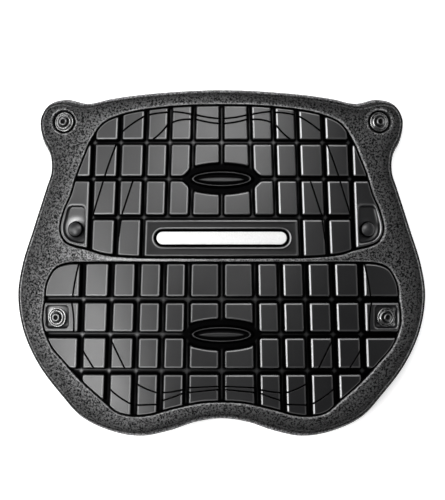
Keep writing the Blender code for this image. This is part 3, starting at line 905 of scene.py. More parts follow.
@dataclass
class Plate:
    """A plate of tiles on its base, with an oval boss in a pointed pocket."""

    name: str
    form: ChestForm
    outline: Outline
    rows: tuple[float, ...]
    fan: tuple[Row, ...]
    cuts: tuple[Row, ...]
    groove: float
    boss_up: float
    recesses: list[Recess]
    joined_ends: bool = False
    wide_panel: bool = False
    # Strength of a painted light line along each row of grooves.
    row_line: float = 0.0
    floor_pitch: float = 0.62 * MM
    border: float = 1.5 * MM
    gap: float = 0.3 * MM
    floor: float = -3.5 * MM
    base: float = -5.5 * MM
    pocket_half_length: float = 25.4 * MM
    pocket_half_height: float = 9.8 * MM
    pocket_shoulder_drop: float = 2.4 * MM
    boss_half_length: float = 18.1 * MM
    boss_half_height: float = 4.4 * MM
    boss_stretch: float = 1.5
    # Columns: out, level, painted highlight and painted shade; the pocket walls and the boss's dish are in
    # painted shade.
    boss_rows: tuple[Row, ...] = (
        (1.9, -3.60, 0.0, 1.0), (1.5, -3.45, 0.0, 1.0), (1.0, -2.95, 0.0, 1.0), (0.5, -2.0, 0.0, 1.0),
        (0.15, -1.35, 0.0, 1.0), (0.0, -1.16, 0.0, 0.5), (-0.25, -1.08, 0.06, 0.2), (-0.5, -1.16, 0.0, 0.5),
        (-0.7, -1.4, 0.0, 0.9), (-1.0, -2.1, 0.0, 1.0), (-1.4, -2.65, 0.0, 1.0), (-1.9, -2.8, 0.0, 1.0),
        (-2.4, -2.6, 0.0, 1.0), (-2.9, -2.32, 0.0, 0.9), (-3.4, -2.15, 0.0, 0.45), (-3.9, -2.05, 0.0, 0.25),
    )
    least_depth: float = 0.45 * MM
    recess_depth: float = 2.0 * MM
    samples_pitch: float = 0.7 * MM
    line_share: float = 0.55
    line_reach: float = 45 * MM
    edge: TileEdge = field(default_factory=TileEdge)

    def fan_line(self, number: int) -> tuple[Points, Points]:
        """Top and foot of an upright groove, negative numbers being those of the left half."""
        top_across, foot_across, top_up, foot_up = self.fan[abs(number)]
        side = Side.LEFT if number < 0 else Side.RIGHT
        return self.form.place((top_across, top_up), side), self.form.place((foot_across, foot_up), side)

    def pocket(self) -> Outline:
        """The pocket round the boss: a shallow arc above and below, and slanted ends that meet in
        points."""
        shoulder_up = self.pocket_half_height - self.pocket_shoulder_drop
        shoulder = self.pocket_half_length - shoulder_up
        across = np.linspace(shoulder, -shoulder, 15)
        up = self.pocket_half_height - self.pocket_shoulder_drop * (across / shoulder) ** 2
        top = np.column_stack([across, up])
        tip = np.array([[-self.pocket_half_length, 0.0]])
        centre = np.array([0.0, self.boss_up * self.form.half_height])
        return Outline(np.concatenate([top, tip, -top, -tip]) + centre)

    def cells(self) -> list[list[Field]]:
        """The fields that bound each tile before its cuts: its grooves on four sides, the plate's own
        border and the pocket."""
        border = self.outline.sampled(0.5 * MM, 4 * MM)
        pocket = self.pocket().sampled(0.4 * MM, 6 * MM)
        steep = self.edge.border_steepness
        shared: list[Field] = [
            lambda points: (border(points) + self.border) * steep,
            lambda points: -pocket(points),
        ]
        half = self.groove / 2
        ups = [None, *[up * self.form.half_height for up in self.rows], None]
        found = []
        for row, (top, foot) in enumerate(zip(ups, ups[1:])):
            last = len(self.fan) - 1
            lines = list(range(-last, last + 1))
            if self.wide_panel and row == 3:
                lines = [number for number in lines if abs(number) >= 3]
            for left, right in zip([None, *lines], [*lines, None]):
                at_end = left is None or right is None
                if self.joined_ends and at_end and row == 3:
                    continue
                low = None if self.joined_ends and at_end and row == 2 else foot
                found.append(shared + self.sides(left, right, top, low, half))
        return found

    def sides(
        self, left: int | None, right: int | None, top: float | None, foot: float | None, half: float
    ) -> list[Field]:
        """The fields of up to four grooves round a cell.

        Args:
            left: number of the upright groove on its left, if any.
            right: number of the one on its right, if any.
            top: height of the groove above it, if any.
            foot: height of the groove below it, if any.
            half: half the groove's width.

        Returns:
            The fields.
        """
        found = []
        if left is not None:
            high, low = self.fan_line(left)
            found.append(beyond(low, high, half))
        if right is not None:
            high, low = self.fan_line(right)
            found.append(beyond(high, low, half))
        if top is not None:
            found.append(beyond(np.array([0.0, top]), np.array([1.0, top]), half))
        if foot is not None:
            found.append(beyond(np.array([1.0, foot]), np.array([0.0, foot]), half))
        return found

    def cut_lines(self) -> list[tuple[Points, Points, float]]:
        """Both sides' fine cuts as start, end and bow."""
        found = []
        for side in Side:
            for row in self.cuts:
                start, end = np.array(row[:4]).reshape(2, 2) * MM * (side.value, 1)
                found.append((start, end, row[4] * MM * side.value))
        return found

    def beside_cut(self, cut: tuple[Points, Points, float], flip: bool) -> Field:
        """The field of one side of a fine cut, made steeper than a distance."""
        start, end, bow = cut
        if flip:
            start, end, bow = end, start, -bow
        side = beyond(start, end, self.edge.cut_gap, bow)
        return lambda points: side(points) * self.edge.cut_steepness

    def tiles(self) -> list[tuple[Field, list[Field]]]:
        """Every tile's rounded region, and the sides of the fine cuts that bound it: each cell is parted
        by the cuts whose middle lies in it."""
        found = []
        cuts = self.cut_lines()
        middles = np.array([(start + end) / 2 for start, end, _ in cuts])
        for bounds in self.cells():
            whole = rounded_meet(bounds, self.edge.corner)
            own = [cuts[i] for i in np.flatnonzero(whole(middles) < 0)]
            for signs in itertools.product((False, True), repeat=len(own)):
                parts = [self.beside_cut(cut, flip) for flip, cut in zip(signs, own)]
                corner = self.edge.cut_corner if parts else self.edge.corner
                found.append((rounded_meet(bounds + parts, corner), parts))
        return found

    def add_tile(self, made: Sheets, region: Field, cuts: list[Field], samples: Points) -> None:
        """Adds one tile as rings of its region's level sets, from the groove floor to the middle of its
        top, or down into its recess.

        Args:
            made: the sheets to add to.
            region: the tile's field.
            cuts: fields of the fine cuts that bound it.
            samples: plan points spread over the plate.
        """
        values = region(samples)
        if values.min() > -self.least_depth:
            return
        centre = samples[values < 0.8 * values.min()].mean(axis=0)
        rows = np.array(self.edge.wall)
        count, shares = self.edge.rays, np.array([0.7, 0.4])
        holding = (one for one in self.recesses if region(one.centre[None])[0] < -self.recess_depth)
        recess = next(holding, None)
        if recess is not None:
            centre = recess.centre
            rows = np.array(self.edge.wall + recess.frame)
            count, shares = recess.rays, np.linspace(0.9, 0.1, 9)
        outs = rows[:, :1] * MM
        outer = slice(len(rows))
        rays = spaced_rays(region, centre, count, self.edge.reach)
        reach = ray_reach(region, centre, rays, outs[:, 0], self.edge.reach)
        if recess is not None:
            inner_rows = np.array(recess.rows)
            inner = ray_reach(recess.region, centre, rays, inner_rows[:, 0] * MM, self.edge.reach)
            reach = np.concatenate([reach, np.minimum(inner, reach[-1] * 0.98)])
            rows = np.concatenate([rows, inner_rows])
        reach = np.concatenate([reach, reach[-1] * shares[:, None]])
        rows = np.concatenate([rows, np.repeat(rows[-1:] * (1, 1, 0, 1), len(shares), axis=0)])
        plan = centre + reach[..., None] * rays
        run = np.roll(plan, -1, axis=1) - np.roll(plan, 1, axis=1)
        facing = np.stack([run[..., 1], -run[..., 0]], axis=-1)
        facing /= np.maximum(np.linalg.norm(facing, axis=-1, keepdims=True), 1e-9)
        facing[outer.stop :] *= -1
        # Painted highlights on the rounded edges, stronger or weaker by which way each edge faces.
        painted_highlights = rows[:, 2:3] * self.edge.edge_highlight(plan, facing)
        heights = np.broadcast_to(rows[:, 1:2] * MM, plan.shape[:2])
        if recess is not None:
            heights = heights - recess.dip(plan)
            # The recess floor takes a painted sheen beside its fastening.
            painted_highlights[outer.stop :] = np.maximum(painted_highlights[outer.stop :], recess.painted_sheen(plan[outer.stop :]))
        # Beside a fine cut the edge gets no painted highlight, and where it sinks it gets painted shade.
        beside = np.zeros(plan.shape[:2], bool)
        for cut in cuts:
            beside[outer] |= cut(plan[outer]) > outs - self.edge.cut_shade
        made.rings(
            self.form.raised(plan, heights),
            np.where(beside, 0.0, painted_highlights),
            np.where(beside & (heights < -0.01 * MM), 1.0, rows[:, 3:]),
        )

    def add_base(self, made: Sheets) -> None:
        """Adds the base's side in painted shade, and the groove floor, a fine grid whose painted shade is
        least where it lies open.
        """
        bevel, lap = 0.2 * MM, 0.8 * MM
        rows = np.array(
            ((0.0, self.base), (0.0, self.floor - bevel), (-bevel, self.floor), (-lap, self.floor))
        )
        plan = np.stack([self.outline.moved(out - self.gap) for out in rows[:, 0]])
        made.rings(self.form.raised(plan, rows[:, 1:]), painted_shade=np.ones(len(rows)), cap=False)
        border = self.outline.sampled(0.6 * MM, 3 * MM)
        inset = self.gap + 0.7 * MM
        plan, *faces = trimmed_grid(
            lambda points: border(points) + inset, self.form.half_sizes, self.floor_pitch
        )
        made.cut_grid(self.form.raised(plan, self.floor), faces, painted_shade=1 - self.lit(plan, border))

    def lit(self, plan: Points, border: Field) -> Points:
        """How little painted shade the groove floor gets: it opens up with the distance from the nearest
        tile, so most at the crossings, and a faint painted light line runs on between them. The pocket and
        the border are in full painted shade.

        Args:
            plan: plan points of the floor.
            border: distance from the plate's outline, negative inside.

        Returns:
            Shares from 0 to 1.
        """
        gap = np.min([rounded_meet(bounds, self.edge.corner)(plan) for bounds in self.cells()], axis=0)
        half = self.groove / 2
        across = plan[:, 0]
        star = np.clip((gap - half - 0.12 * MM) / (0.6 * MM), 0, 1)
        line = np.clip((gap - half + 0.35 * MM) / (0.3 * MM), 0, 1)
        line = line * self.line_share * swell(across, self.line_reach)
        for up in self.rows:
            offset = plan[:, 1] - up * self.form.half_height - 0.35 * half
            row_line = self.row_line * swell(offset, 0.45 * MM) * (1 - np.tanh(across / (30 * MM)))
            line = np.maximum(line, row_line)
        outside = self.pocket().sampled(0.5 * MM, 90 * MM)(plan)
        past_pocket = np.clip((outside + 0.7 * MM) / (1.2 * MM), 0, 1)
        within_border = np.clip((-border(plan) - 1.7 * MM) / (0.8 * MM), 0, 1)
        return np.clip(np.maximum(star, line), 0, 1) * past_pocket * within_border

    def add_boss(self, made: Sheets) -> None:
        """Adds the oval boss: ovals that shrink a little faster along than across, carried up over a thin
        rim and down into a dish with a low crowned floor, whose middle lies a little nearer the foot."""
        rows = np.array(self.boss_rows)
        outs = rows[:, :1]
        halves = np.array([self.boss_half_length, self.boss_half_height])
        sunk = np.clip(-1.0 - outs, 0, 2) * 0.2 * MM
        centre = np.array([0.0, self.boss_up * self.form.half_height]) - sunk * (0, 1)
        ovals = circle(120) * (halves + outs * MM * (self.boss_stretch, 1))[:, None] + centre[:, None]
        made.rings(self.form.raised(ovals, rows[:, 1:2] * MM), rows[:, 2], rows[:, 3])

    def build(self, material: bpy.types.Material) -> None:
        """Builds the plate as two pieces, its tiles with the boss and its base with the groove floor."""
        made = Sheets()
        low, high = self.outline.ring.min(axis=0), self.outline.ring.max(axis=0)
        axes = [np.arange(start, stop, self.samples_pitch) for start, stop in zip(low, high)]
        samples = np.stack(np.meshgrid(*axes, indexing="ij"), axis=-1).reshape(-1, 2)
        for region, cuts in self.tiles():
            self.add_tile(made, region, cuts, samples)
        self.add_boss(made)
        shown(f"{self.name}_tiles", made.mesh(self.name), material, "plate", self.name)
        base = Sheets()
        self.add_base(base)
        shown(f"{self.name}_floor", base.mesh(f"{self.name}_base"), material, "plate")


@dataclass
class InlayBar:
    """The plain pale bar that lies in the panel's seat, its top edge rounded over."""

    form: ChestForm
    length: float = 80.0 * MM
    width: float = 7.8 * MM
    foot: float = -1.5 * MM
    reach: float = 60 * MM
    rays: int = 160
    inner_shares: Row = (0.8, 0.6, 0.4, 0.2)
    rows: tuple[Row, ...] = (
        (0.0, 0.0), (0.0, 0.9), (-0.06, 1.15), (-0.2, 1.32), (-0.45, 1.4), (-1.0, 1.42), (-2.4, 1.45),
    )

    def build(self, material: bpy.types.Material) -> None:
        """Builds the bar as level sets of its half-round-ended outline."""
        centre = self.form.place((0.0, PANEL_UP))
        region = stadium_field(centre, self.length, self.width)
        outs, levels = (np.array(self.rows) * MM).T
        rays = spaced_rays(region, centre, self.rays, self.reach)
        reach = ray_reach(region, centre, rays, outs, self.reach)
        reach = np.concatenate([reach, np.multiply.outer(self.inner_shares, reach[-1])])
        levels = np.append(levels, np.full(len(self.inner_shares), levels[-1])) + self.foot
        made = Sheets()
        made.rings(self.form.raised(centre + reach[..., None] * rays, levels[:, None]))
        shown("pale_bar", made.mesh("pale_bar"), material, "inlay", "inlay_bar")


@dataclass
class PressStud:
    """A press stud: flange, raised ring with a rolled edge, dark recess, and a nub with a bore. Rows of
    the profile are radius and height in millimetres, painted highlight value and painted shade value; the
    rings carry painted highlights and the recesses painted shade. Short dashes of painted shade stand on a
    band of the flange, between two radii in millimetres."""

    form: ChestForm
    seat: Seat
    side: Side
    plan: Points
    level: float
    profile: tuple[Row, ...] = (
        (5.90, 0.00, 0.0, 0.0), (6.00, 0.15, 0.0, 0.0), (6.02, 0.45, 0.3, 0.0), (5.94, 0.75, 0.9, 0.0),
        (5.76, 0.94, 1.0, 0.0), (5.50, 1.00, 1.0, 0.0), (5.30, 0.90, 0.2, 0.4), (5.10, 0.82, 0.1, 0.5),
        (4.88, 0.90, 0.3, 0.3), (4.70, 1.20, 0.9, 0.0), (4.50, 1.58, 1.0, 0.0), (4.30, 1.78, 1.0, 0.0),
        (4.05, 1.84, 1.0, 0.0), (3.82, 1.76, 0.7, 0.1), (3.66, 1.52, 0.1, 0.6), (3.50, 1.12, 0.0, 0.8),
        (3.30, 0.96, 0.4, 0.2), (3.10, 0.94, 0.5, 0.1), (2.92, 0.80, 0.0, 0.8), (2.72, 0.72, 0.0, 1.0),
        (2.56, 0.95, 0.0, 0.9), (2.46, 1.70, 0.0, 0.5), (2.38, 2.50, 0.1, 0.1), (2.26, 2.82, 0.4, 0.0),
        (2.02, 2.99, 0.5, 0.0), (1.75, 3.00, 0.3, 0.0), (1.50, 2.92, 0.0, 0.6), (1.32, 2.65, 0.0, 1.0),
        (1.27, 2.45, 0.0, 1.0), (1.22, 2.28, 0.0, 1.0), (0.60, 2.22, 0.0, 1.0),
    )
    around: int = 108
    dashes: int = 9
    dash_band: tuple[float, float] = (4.75, 5.35)

    def dashed(self, radii: Points, angles: Points) -> Points:
        """Painted shade values of the dashes, which take up nearly half of the band."""
        low, high = self.dash_band
        return np.where((radii > low) & (radii < high) & (np.cos(angles * self.dashes) > 0.1), 1.0, 0.0)

    def build(self, material: bpy.types.Material) -> None:
        """Builds the stud."""
        label = f"press_stud_{self.seat.value}_{self.side.name.lower()}"
        made = turned_sheet(self.profile, self.around, self.form, self.plan, self.level, self.dashed)
        shown(f"{label}_metal", made.mesh(label), material, "stud", label)


@dataclass
class DomeRivet:
    """A dome rivet, with the tail formed at the pad's back. Its dome is a quarter oval over a short brim,
    in painted shade below an angle up from the brim. Lengths are in millimetres."""

    form: ChestForm
    side: Side
    plan: Points
    level: float
    radius: float = 5.0
    height: float = 3.2
    brim: float = 0.5
    shade: float = 0.58
    cap_radius: float = 5.0
    cap_thickness: float = 1.0
    cap_inset: float = 0.6
    around: int = 64

    def build(self, material: bpy.types.Material) -> None:
        """Builds the dome, its shank and its tail."""
        angles = np.linspace(0.05, math.pi / 2, 14)
        rise = self.height - self.brim
        dome = [
            (self.radius * math.cos(turn), self.brim + rise * math.sin(turn), 0.0, float(turn < self.shade))
            for turn in angles
        ]
        cap_foot = (self.form.underside - self.level) / MM + self.cap_inset
        cap_top = cap_foot + self.cap_thickness
        lower = [
            (0.4, cap_foot), (self.cap_radius - 0.3, cap_foot), (self.cap_radius, cap_foot + 0.25),
            (self.cap_radius, cap_top), (1.6, cap_top), (1.6, -0.8), (self.radius - 0.3, -0.8),
            (self.radius, -0.5),
        ]
        profile = [(radius, height, 0.0, 0.0) for radius, height in lower] + dome
        label = f"dome_rivet_{self.side.name.lower()}"
        made = turned_sheet(profile, self.around, self.form, self.plan, self.level)
        shown(f"{label}_head", made.mesh(label), material, "rivet", label)


@dataclass
class FoamPad:
    """The foam pad: a thin lip round a thicker body, beads round the plates' seats, dishes round the ear
    studs, a web between the plates and a hollow back with round seats for the fastenings' caps. Rows are
    distance out from an edge and level or drop in millimetres, painted highlight value and painted shade
    value. Swells are height, distance from the edge and width in millimetres. A glow is a painted sheen: a
    share in the middle, how much it falls towards the right, and the distance over which it fades. The edge's
    painted shade is a share, what the right half adds, and the depth and fade of it."""

    form: ChestForm
    outline: Outline
    seats: list[Outline]
    ears: list[Points]
    caps: list[Points]
    rim_level: float = -1.0 * MM
    pitch: float = 0.55 * MM
    back_pitch: float = 1.5 * MM
    body_in: float = 5.9 * MM
    seat_out: float = 1.5 * MM
    dish_out: float = 9.2 * MM
    cap_radius: float = 5.6 * MM
    # Lip and line rows: painted highlight on the lip's top and the line, painted shade in the step and down
    # the wall.
    lip_rows: tuple[Row, ...] = (
        (-1.6, -11.8, 0.0, 0.5), (-0.6, -11.76, 0.0, 0.5), (-0.18, -11.55, 0.0, 0.5), (0.0, -11.1, 0.0, 0.3),
        (0.0, -9.6, 0.2, 0.0), (-0.12, -9.15, 0.6, 0.0), (-0.5, -8.88, 0.8, 0.0), (-1.1, -8.8, 0.6, 0.0),
        (-1.7, -8.76, 0.2, 0.1), (-2.2, -8.6, 0.0, 0.9), (-2.5, -8.15, 0.0, 1.0), (-2.6, -7.2, 0.0, 1.0),
        (-2.62, -5.6, 0.0, 1.0), (-2.66, -4.3, 0.0, 0.9), (-2.76, -3.3, 0.0, 0.8), (-2.95, -2.72, 0.0, 0.7),
        (-3.25, -2.46, 0.0, 0.6), (-3.60, -2.46, 0.0, 0.6), (-3.95, -2.58, 0.0, 0.7),
    )
    line_rows: tuple[Row, ...] = (
        (-4.25, -2.32, 0.3, 0.3), (-4.55, -2.12, 0.8, 0.0), (-4.85, -1.90, 0.8, 0.0),
        (-5.15, -1.68, 0.2, 0.4),
    )
    seat_rows: tuple[Row, ...] = (
        (1.25, 0.0, 0.15, 0.0), (1.0, 0.0, 0.2, 0.0), (0.8, 0.0, 0.4, 0.0), (0.62, 0.0, 0.7, 0.0),
        (0.46, 0.0, 0.85, 0.0), (0.32, 0.0, 0.85, 0.0), (0.18, 0.0, 0.6, 0.1), (0.06, 0.0, 0.2, 0.6),
        (0.0, -0.3, 0.0, 0.9), (-0.05, -1.2, 0.0, 1.0), (-0.08, -2.6, 0.0, 1.0), (-0.1, -4.2, 0.0, 1.0),
    )
    dish_rows: tuple[Row, ...] = (
        (8.7, 0.0, 0.0, 0.0), (8.3, 0.0, 0.1, 0.0), (8.0, 0.0, 0.5, 0.0), (7.7, 0.0, 0.6, 0.0),
        (7.4, -0.08, 0.3, 0.0), (7.1, -0.35, 0.0, 0.6), (6.9, -1.1, 0.0, 1.0), (6.75, -1.9, 0.0, 1.0),
        (6.4, -2.35, 0.0, 1.0), (5.6, -2.45, 0.0, 1.0), (3.0, -2.45, 0.0, 1.0),
    )
    cap_rows: tuple[Row, ...] = (
        (5.65, 0.0), (5.5, 0.08), (5.42, 0.3), (5.4, 1.7), (5.2, 1.88), (3.0, 1.9),
    )
    seat_swells: tuple[Row, ...] = ((0.25, 1.3, 0.9), (-0.20, 3.4, 1.3))
    ear_swells: tuple[Row, ...] = ((0.30, 7.9, 0.7), (-0.25, 10.0, 1.4))
    roll: float = 1.1 * MM
    roll_fade: float = 0.48 * MM
    shoulder: float = 1.5 * MM
    shoulder_start: float = 2.6 * MM
    shoulder_fade: float = 2.4 * MM
    web_glow: Row = (0.62, 0.36, 4.0 * MM)
    seat_glow: Row = (0.14, 0.12, 4.5 * MM)
    glow_turn: float = 40 * MM
    shade: Row = (0.5, 0.3, 5.2 * MM, 6.0 * MM)
    shade_turn: float = 60 * MM
    line_shade: float = 0.5
    waves: int = 14
    wave_lengths: tuple[float, float] = (1.5 * MM, 2.8 * MM)
    wave_height: float = 0.011 * MM
    seed: int = 11

    def grain(self, plan: Points) -> Points:
        """A fine pebbling: the sum of plane waves of mixed lengths in fixed random directions."""
        chance = np.random.default_rng(self.seed)
        angles = chance.uniform(0, math.pi, self.waves)
        turns = 2 * math.pi / chance.uniform(*self.wave_lengths, self.waves)
        steps = np.column_stack([np.cos(angles), np.sin(angles)]) * turns[:, None]
        shifts = chance.uniform(0, 2 * math.pi, self.waves)
        return np.sin(plan @ steps.T + shifts).sum(axis=-1) * self.wave_height

    def build(self, material: bpy.types.Material) -> None:
        self.from_edge = self.outline.sampled(0.6 * MM, 3 * MM)
        self.from_seats = [seat.sampled(0.6 * MM, 14 * MM) for seat in self.seats]
        made = Sheets()
        self.add_lip(made)
        self.add_skin(made)
        for seat in self.seats:
            self.add_seat(made, seat)
        for ear in self.ears:
            self.add_dish(made, ear)
        self.add_back(made)
        pad = shown("foam_body", made.mesh("foam_body"), material, "foam", "foam_pad")

    def seat_gap(self, plan: Points) -> Points:
        """Distance from the nearer seat's edge."""
        return np.minimum(self.from_seats[0](plan), self.from_seats[1](plan))

    def ear_gap(self, plan: Points) -> Points:
        """Distance from the nearer ear stud's axis."""
        return np.min([np.linalg.norm(plan - ear, axis=-1) for ear in self.ears], axis=0)

    def skin(self, plan: Points) -> Points:
        """Level of the foam's top: the rim level, sunk towards the outer edge and rolled over into each
        seat by fading curves, with a shallow swell and valley along each seat, a low ridge round each ear
        stud, and the pebbling."""
        edge = -self.from_edge(plan) - self.shoulder_start
        level = self.rim_level - self.shoulder * fade(edge, self.shoulder_fade)
        level += swells(self.seat_gap(plan), self.seat_swells)
        for seat in self.from_seats:
            level -= self.roll * fade(seat(plan), self.roll_fade)
        level += swells(self.ear_gap(plan), self.ear_swells)
        return level + self.grain(plan)

    def edge_shade(self, depth: Points, plan: Points) -> Points:
        """Painted shade at a distance in from the outer edge, darkest near the edge, and
        most on the right half, which the light reaches less."""
        share, more, start, reach = self.shade
        amount = share + more * np.maximum(np.tanh(plan[..., 0] / self.shade_turn), 0)
        return amount * fade(depth - start, reach)

    def painted_sheen(self, plan: Points) -> Points:
        """Painted sheen on the top, lighter towards each seat and much more in the web between
        both, and on the left half above all."""
        side = np.tanh(plan[..., 0] / self.glow_turn)
        gaps = np.stack([np.maximum(seat(plan), 0) for seat in self.from_seats])
        share, less, reach = self.web_glow
        web = fade(gaps.sum(axis=0), reach) * (share - less * side)
        share, less, reach = self.seat_glow
        near = fade(gaps, reach).sum(axis=0) * (share - less * side)
        return np.minimum(near + web, 1)

    def flank(self, plan: Points) -> Points:
        """How much of a flank a point lies on: the fourth power of its share of the half width."""
        return np.minimum(np.abs(plan[..., 0]) / self.form.half_width, 1) ** 4

    def laid(self, plan: Points, drops: Points | float = 0.0) -> Points:
        """Plan points on the foam's top, each ring lowered by its drop, bent onto the chest."""
        return self.form.raised(plan, self.skin(plan) + drops)

    def add_lip(self, made: Sheets) -> None:
        """Adds the lip's profile, carried round the outer edge and up onto the body's top, where a painted
        highlight line follows the edge on the flanks. The lip's top carries a painted highlight, and its step
        and wall painted shade."""
        rows = np.array(self.lip_rows + self.line_rows)
        flat = np.stack([self.outline.moved(out * MM) for out in rows[:, 0]])
        depths = np.array([5.5, 6.2]) * MM
        tops = np.stack([self.outline.moved(-depth) for depth in depths])
        painted_highlights = np.repeat(rows[:, 2:3], flat.shape[1], axis=1)
        painted_shades = np.repeat(rows[:, 3:4], flat.shape[1], axis=1)
        lines = slice(len(self.lip_rows), None)
        flank = self.flank(flat[lines])
        painted_highlights[lines] *= flank
        painted_shades[lines] = painted_shades[lines] * flank + self.line_shade * (1 - flank)
        made.rings(
            np.concatenate([self.form.raised(flat, rows[:, 1:2] * MM), self.laid(tops)]),
            np.concatenate([painted_highlights, self.painted_sheen(tops)]),
            np.concatenate([painted_shades, self.edge_shade(depths[:, None], tops)]),
            cap=False,
        )

    def add_seat(self, made: Sheets, seat: Outline) -> None:
        """Adds the bead, with a painted highlight and painted sheen, and the wall down into one plate's seat,
        in painted shade.
        """
        rows = np.array(self.seat_rows)
        plan = np.stack([seat.moved(self.seat_out), *[seat.moved(out * MM) for out in rows[:, 0]]])
        drops = np.concatenate([[0.0], rows[:, 1] * MM])[:, None]
        painted_highlights = np.concatenate([[0.0], rows[:, 2]])[:, None]
        painted_shades = np.concatenate([[0.0], rows[:, 3]])
        made.rings(
            self.laid(plan, drops),
            np.where(painted_shades[:, None] > 0.05, painted_highlights, np.maximum(painted_highlights, self.painted_sheen(plan))),
            painted_shades,
            cap=False,
        )

    def add_dish(self, made: Sheets, centre: Points) -> None:
        """Adds the pressed dish round one ear stud, as circles in the flat drawing, with a painted highlight
        on its edge and painted shade down its wall and over its floor.
        """
        rows = np.array(((self.dish_out / MM + 0.1, 0.0, 0.0, 0.0), *self.dish_rows))
        plan = centre + rows[:, 0, None, None] * MM * circle(96)
        made.rings(self.laid(plan, rows[:, 1:2] * MM), rows[:, 2], rows[:, 3])

    def add_skin(self, made: Sheets) -> None:
        """Adds the top between the lip, the seats and the dishes."""

        def region(plan: Points) -> Points:
            """Negative where the top is laid by this grid."""
            beside = np.maximum(self.seat_out - self.seat_gap(plan), self.dish_out - self.ear_gap(plan))
            return np.maximum(self.from_edge(plan) + self.body_in, beside)

        plan, *faces = trimmed_grid(region, self.form.half_sizes + 4 * MM, self.pitch)
        # The top takes the painted sheen, and the edge's painted shade.
        shade = self.edge_shade(-self.from_edge(plan), plan)
        made.cut_grid(self.laid(plan), faces, self.painted_sheen(plan), shade)

    def add_back(self, made: Sheets) -> None:
        """Adds the hollow back, with the caps' round seats let into it."""

        def region(plan: Points) -> Points:
            """Negative on the back away from its edge and its round seats."""
            near = np.min([np.linalg.norm(plan - cap, axis=-1) for cap in self.caps], axis=0)
            return np.maximum(self.from_edge(plan) + 1.5 * MM, self.cap_radius - near)

        plan, *faces = trimmed_grid(region, self.form.half_sizes + 4 * MM, self.back_pitch)
        made.cut_grid(self.form.raised(plan, self.form.underside + self.grain(plan)), faces, down=True)
        rows = np.array(self.cap_rows) * MM
        for cap in self.caps:
            rings = cap + rows[:, 0, None, None] * circle(64, turn=-1)
            made.rings(self.form.raised(rings, self.form.underside + rows[:, 1:]))


def trimmed_grid(
    region: Field, half: Points, pitch: float
) -> tuple[Points, NDArray[np.int64], NDArray[np.int64]]:
    """A square grid cut to a region: points near the region's edge slide onto it along the field's slope,
    and only cells whose corners are inside or on the edge stay.

    Args:
        region: a field that is negative inside.
        half: half the grid's width and height.
        pitch: the grid's spacing.

    Returns:
        The points, the four-cornered faces and the three-cornered faces.
    """
    axes = [np.arange(-math.ceil(size / pitch), math.ceil(size / pitch) + 1) * pitch for size in half]
    grid = np.stack(np.meshgrid(*axes, indexing="ij"), axis=-1)
    values = region(grid)
    near = np.abs(values) < 0.6 * pitch
    points = grid[near]
    step = 0.25 * pitch
    for _ in range(3):
        slope = np.stack(
            [
                (region(points + shift) - region(points - shift)) / (2 * step)
                for shift in np.eye(2) * step
            ],
            axis=-1,
        )
        size = np.maximum((slope**2).sum(axis=-1), 0.25)
        points = points - slope * (region(points) / size)[:, None]
    grid[near] = points
    kept = near | (values < 0)
    index = np.where(kept, np.cumsum(kept.ravel()).reshape(kept.shape) - 1, -1)
    corners = np.stack([index[:-1, :-1], index[1:, :-1], index[1:, 1:], index[:-1, 1:]], axis=-1)
    corners = corners.reshape(-1, 4)
    known = (corners >= 0).sum(axis=1)
    quads = corners[known == 4]
    three = corners[known == 3]
    first = np.argmin(three, axis=1)
    order = (first[:, None] + np.arange(1, 4)) % 4
    return grid[kept], quads, np.take_along_axis(three, order, axis=1)


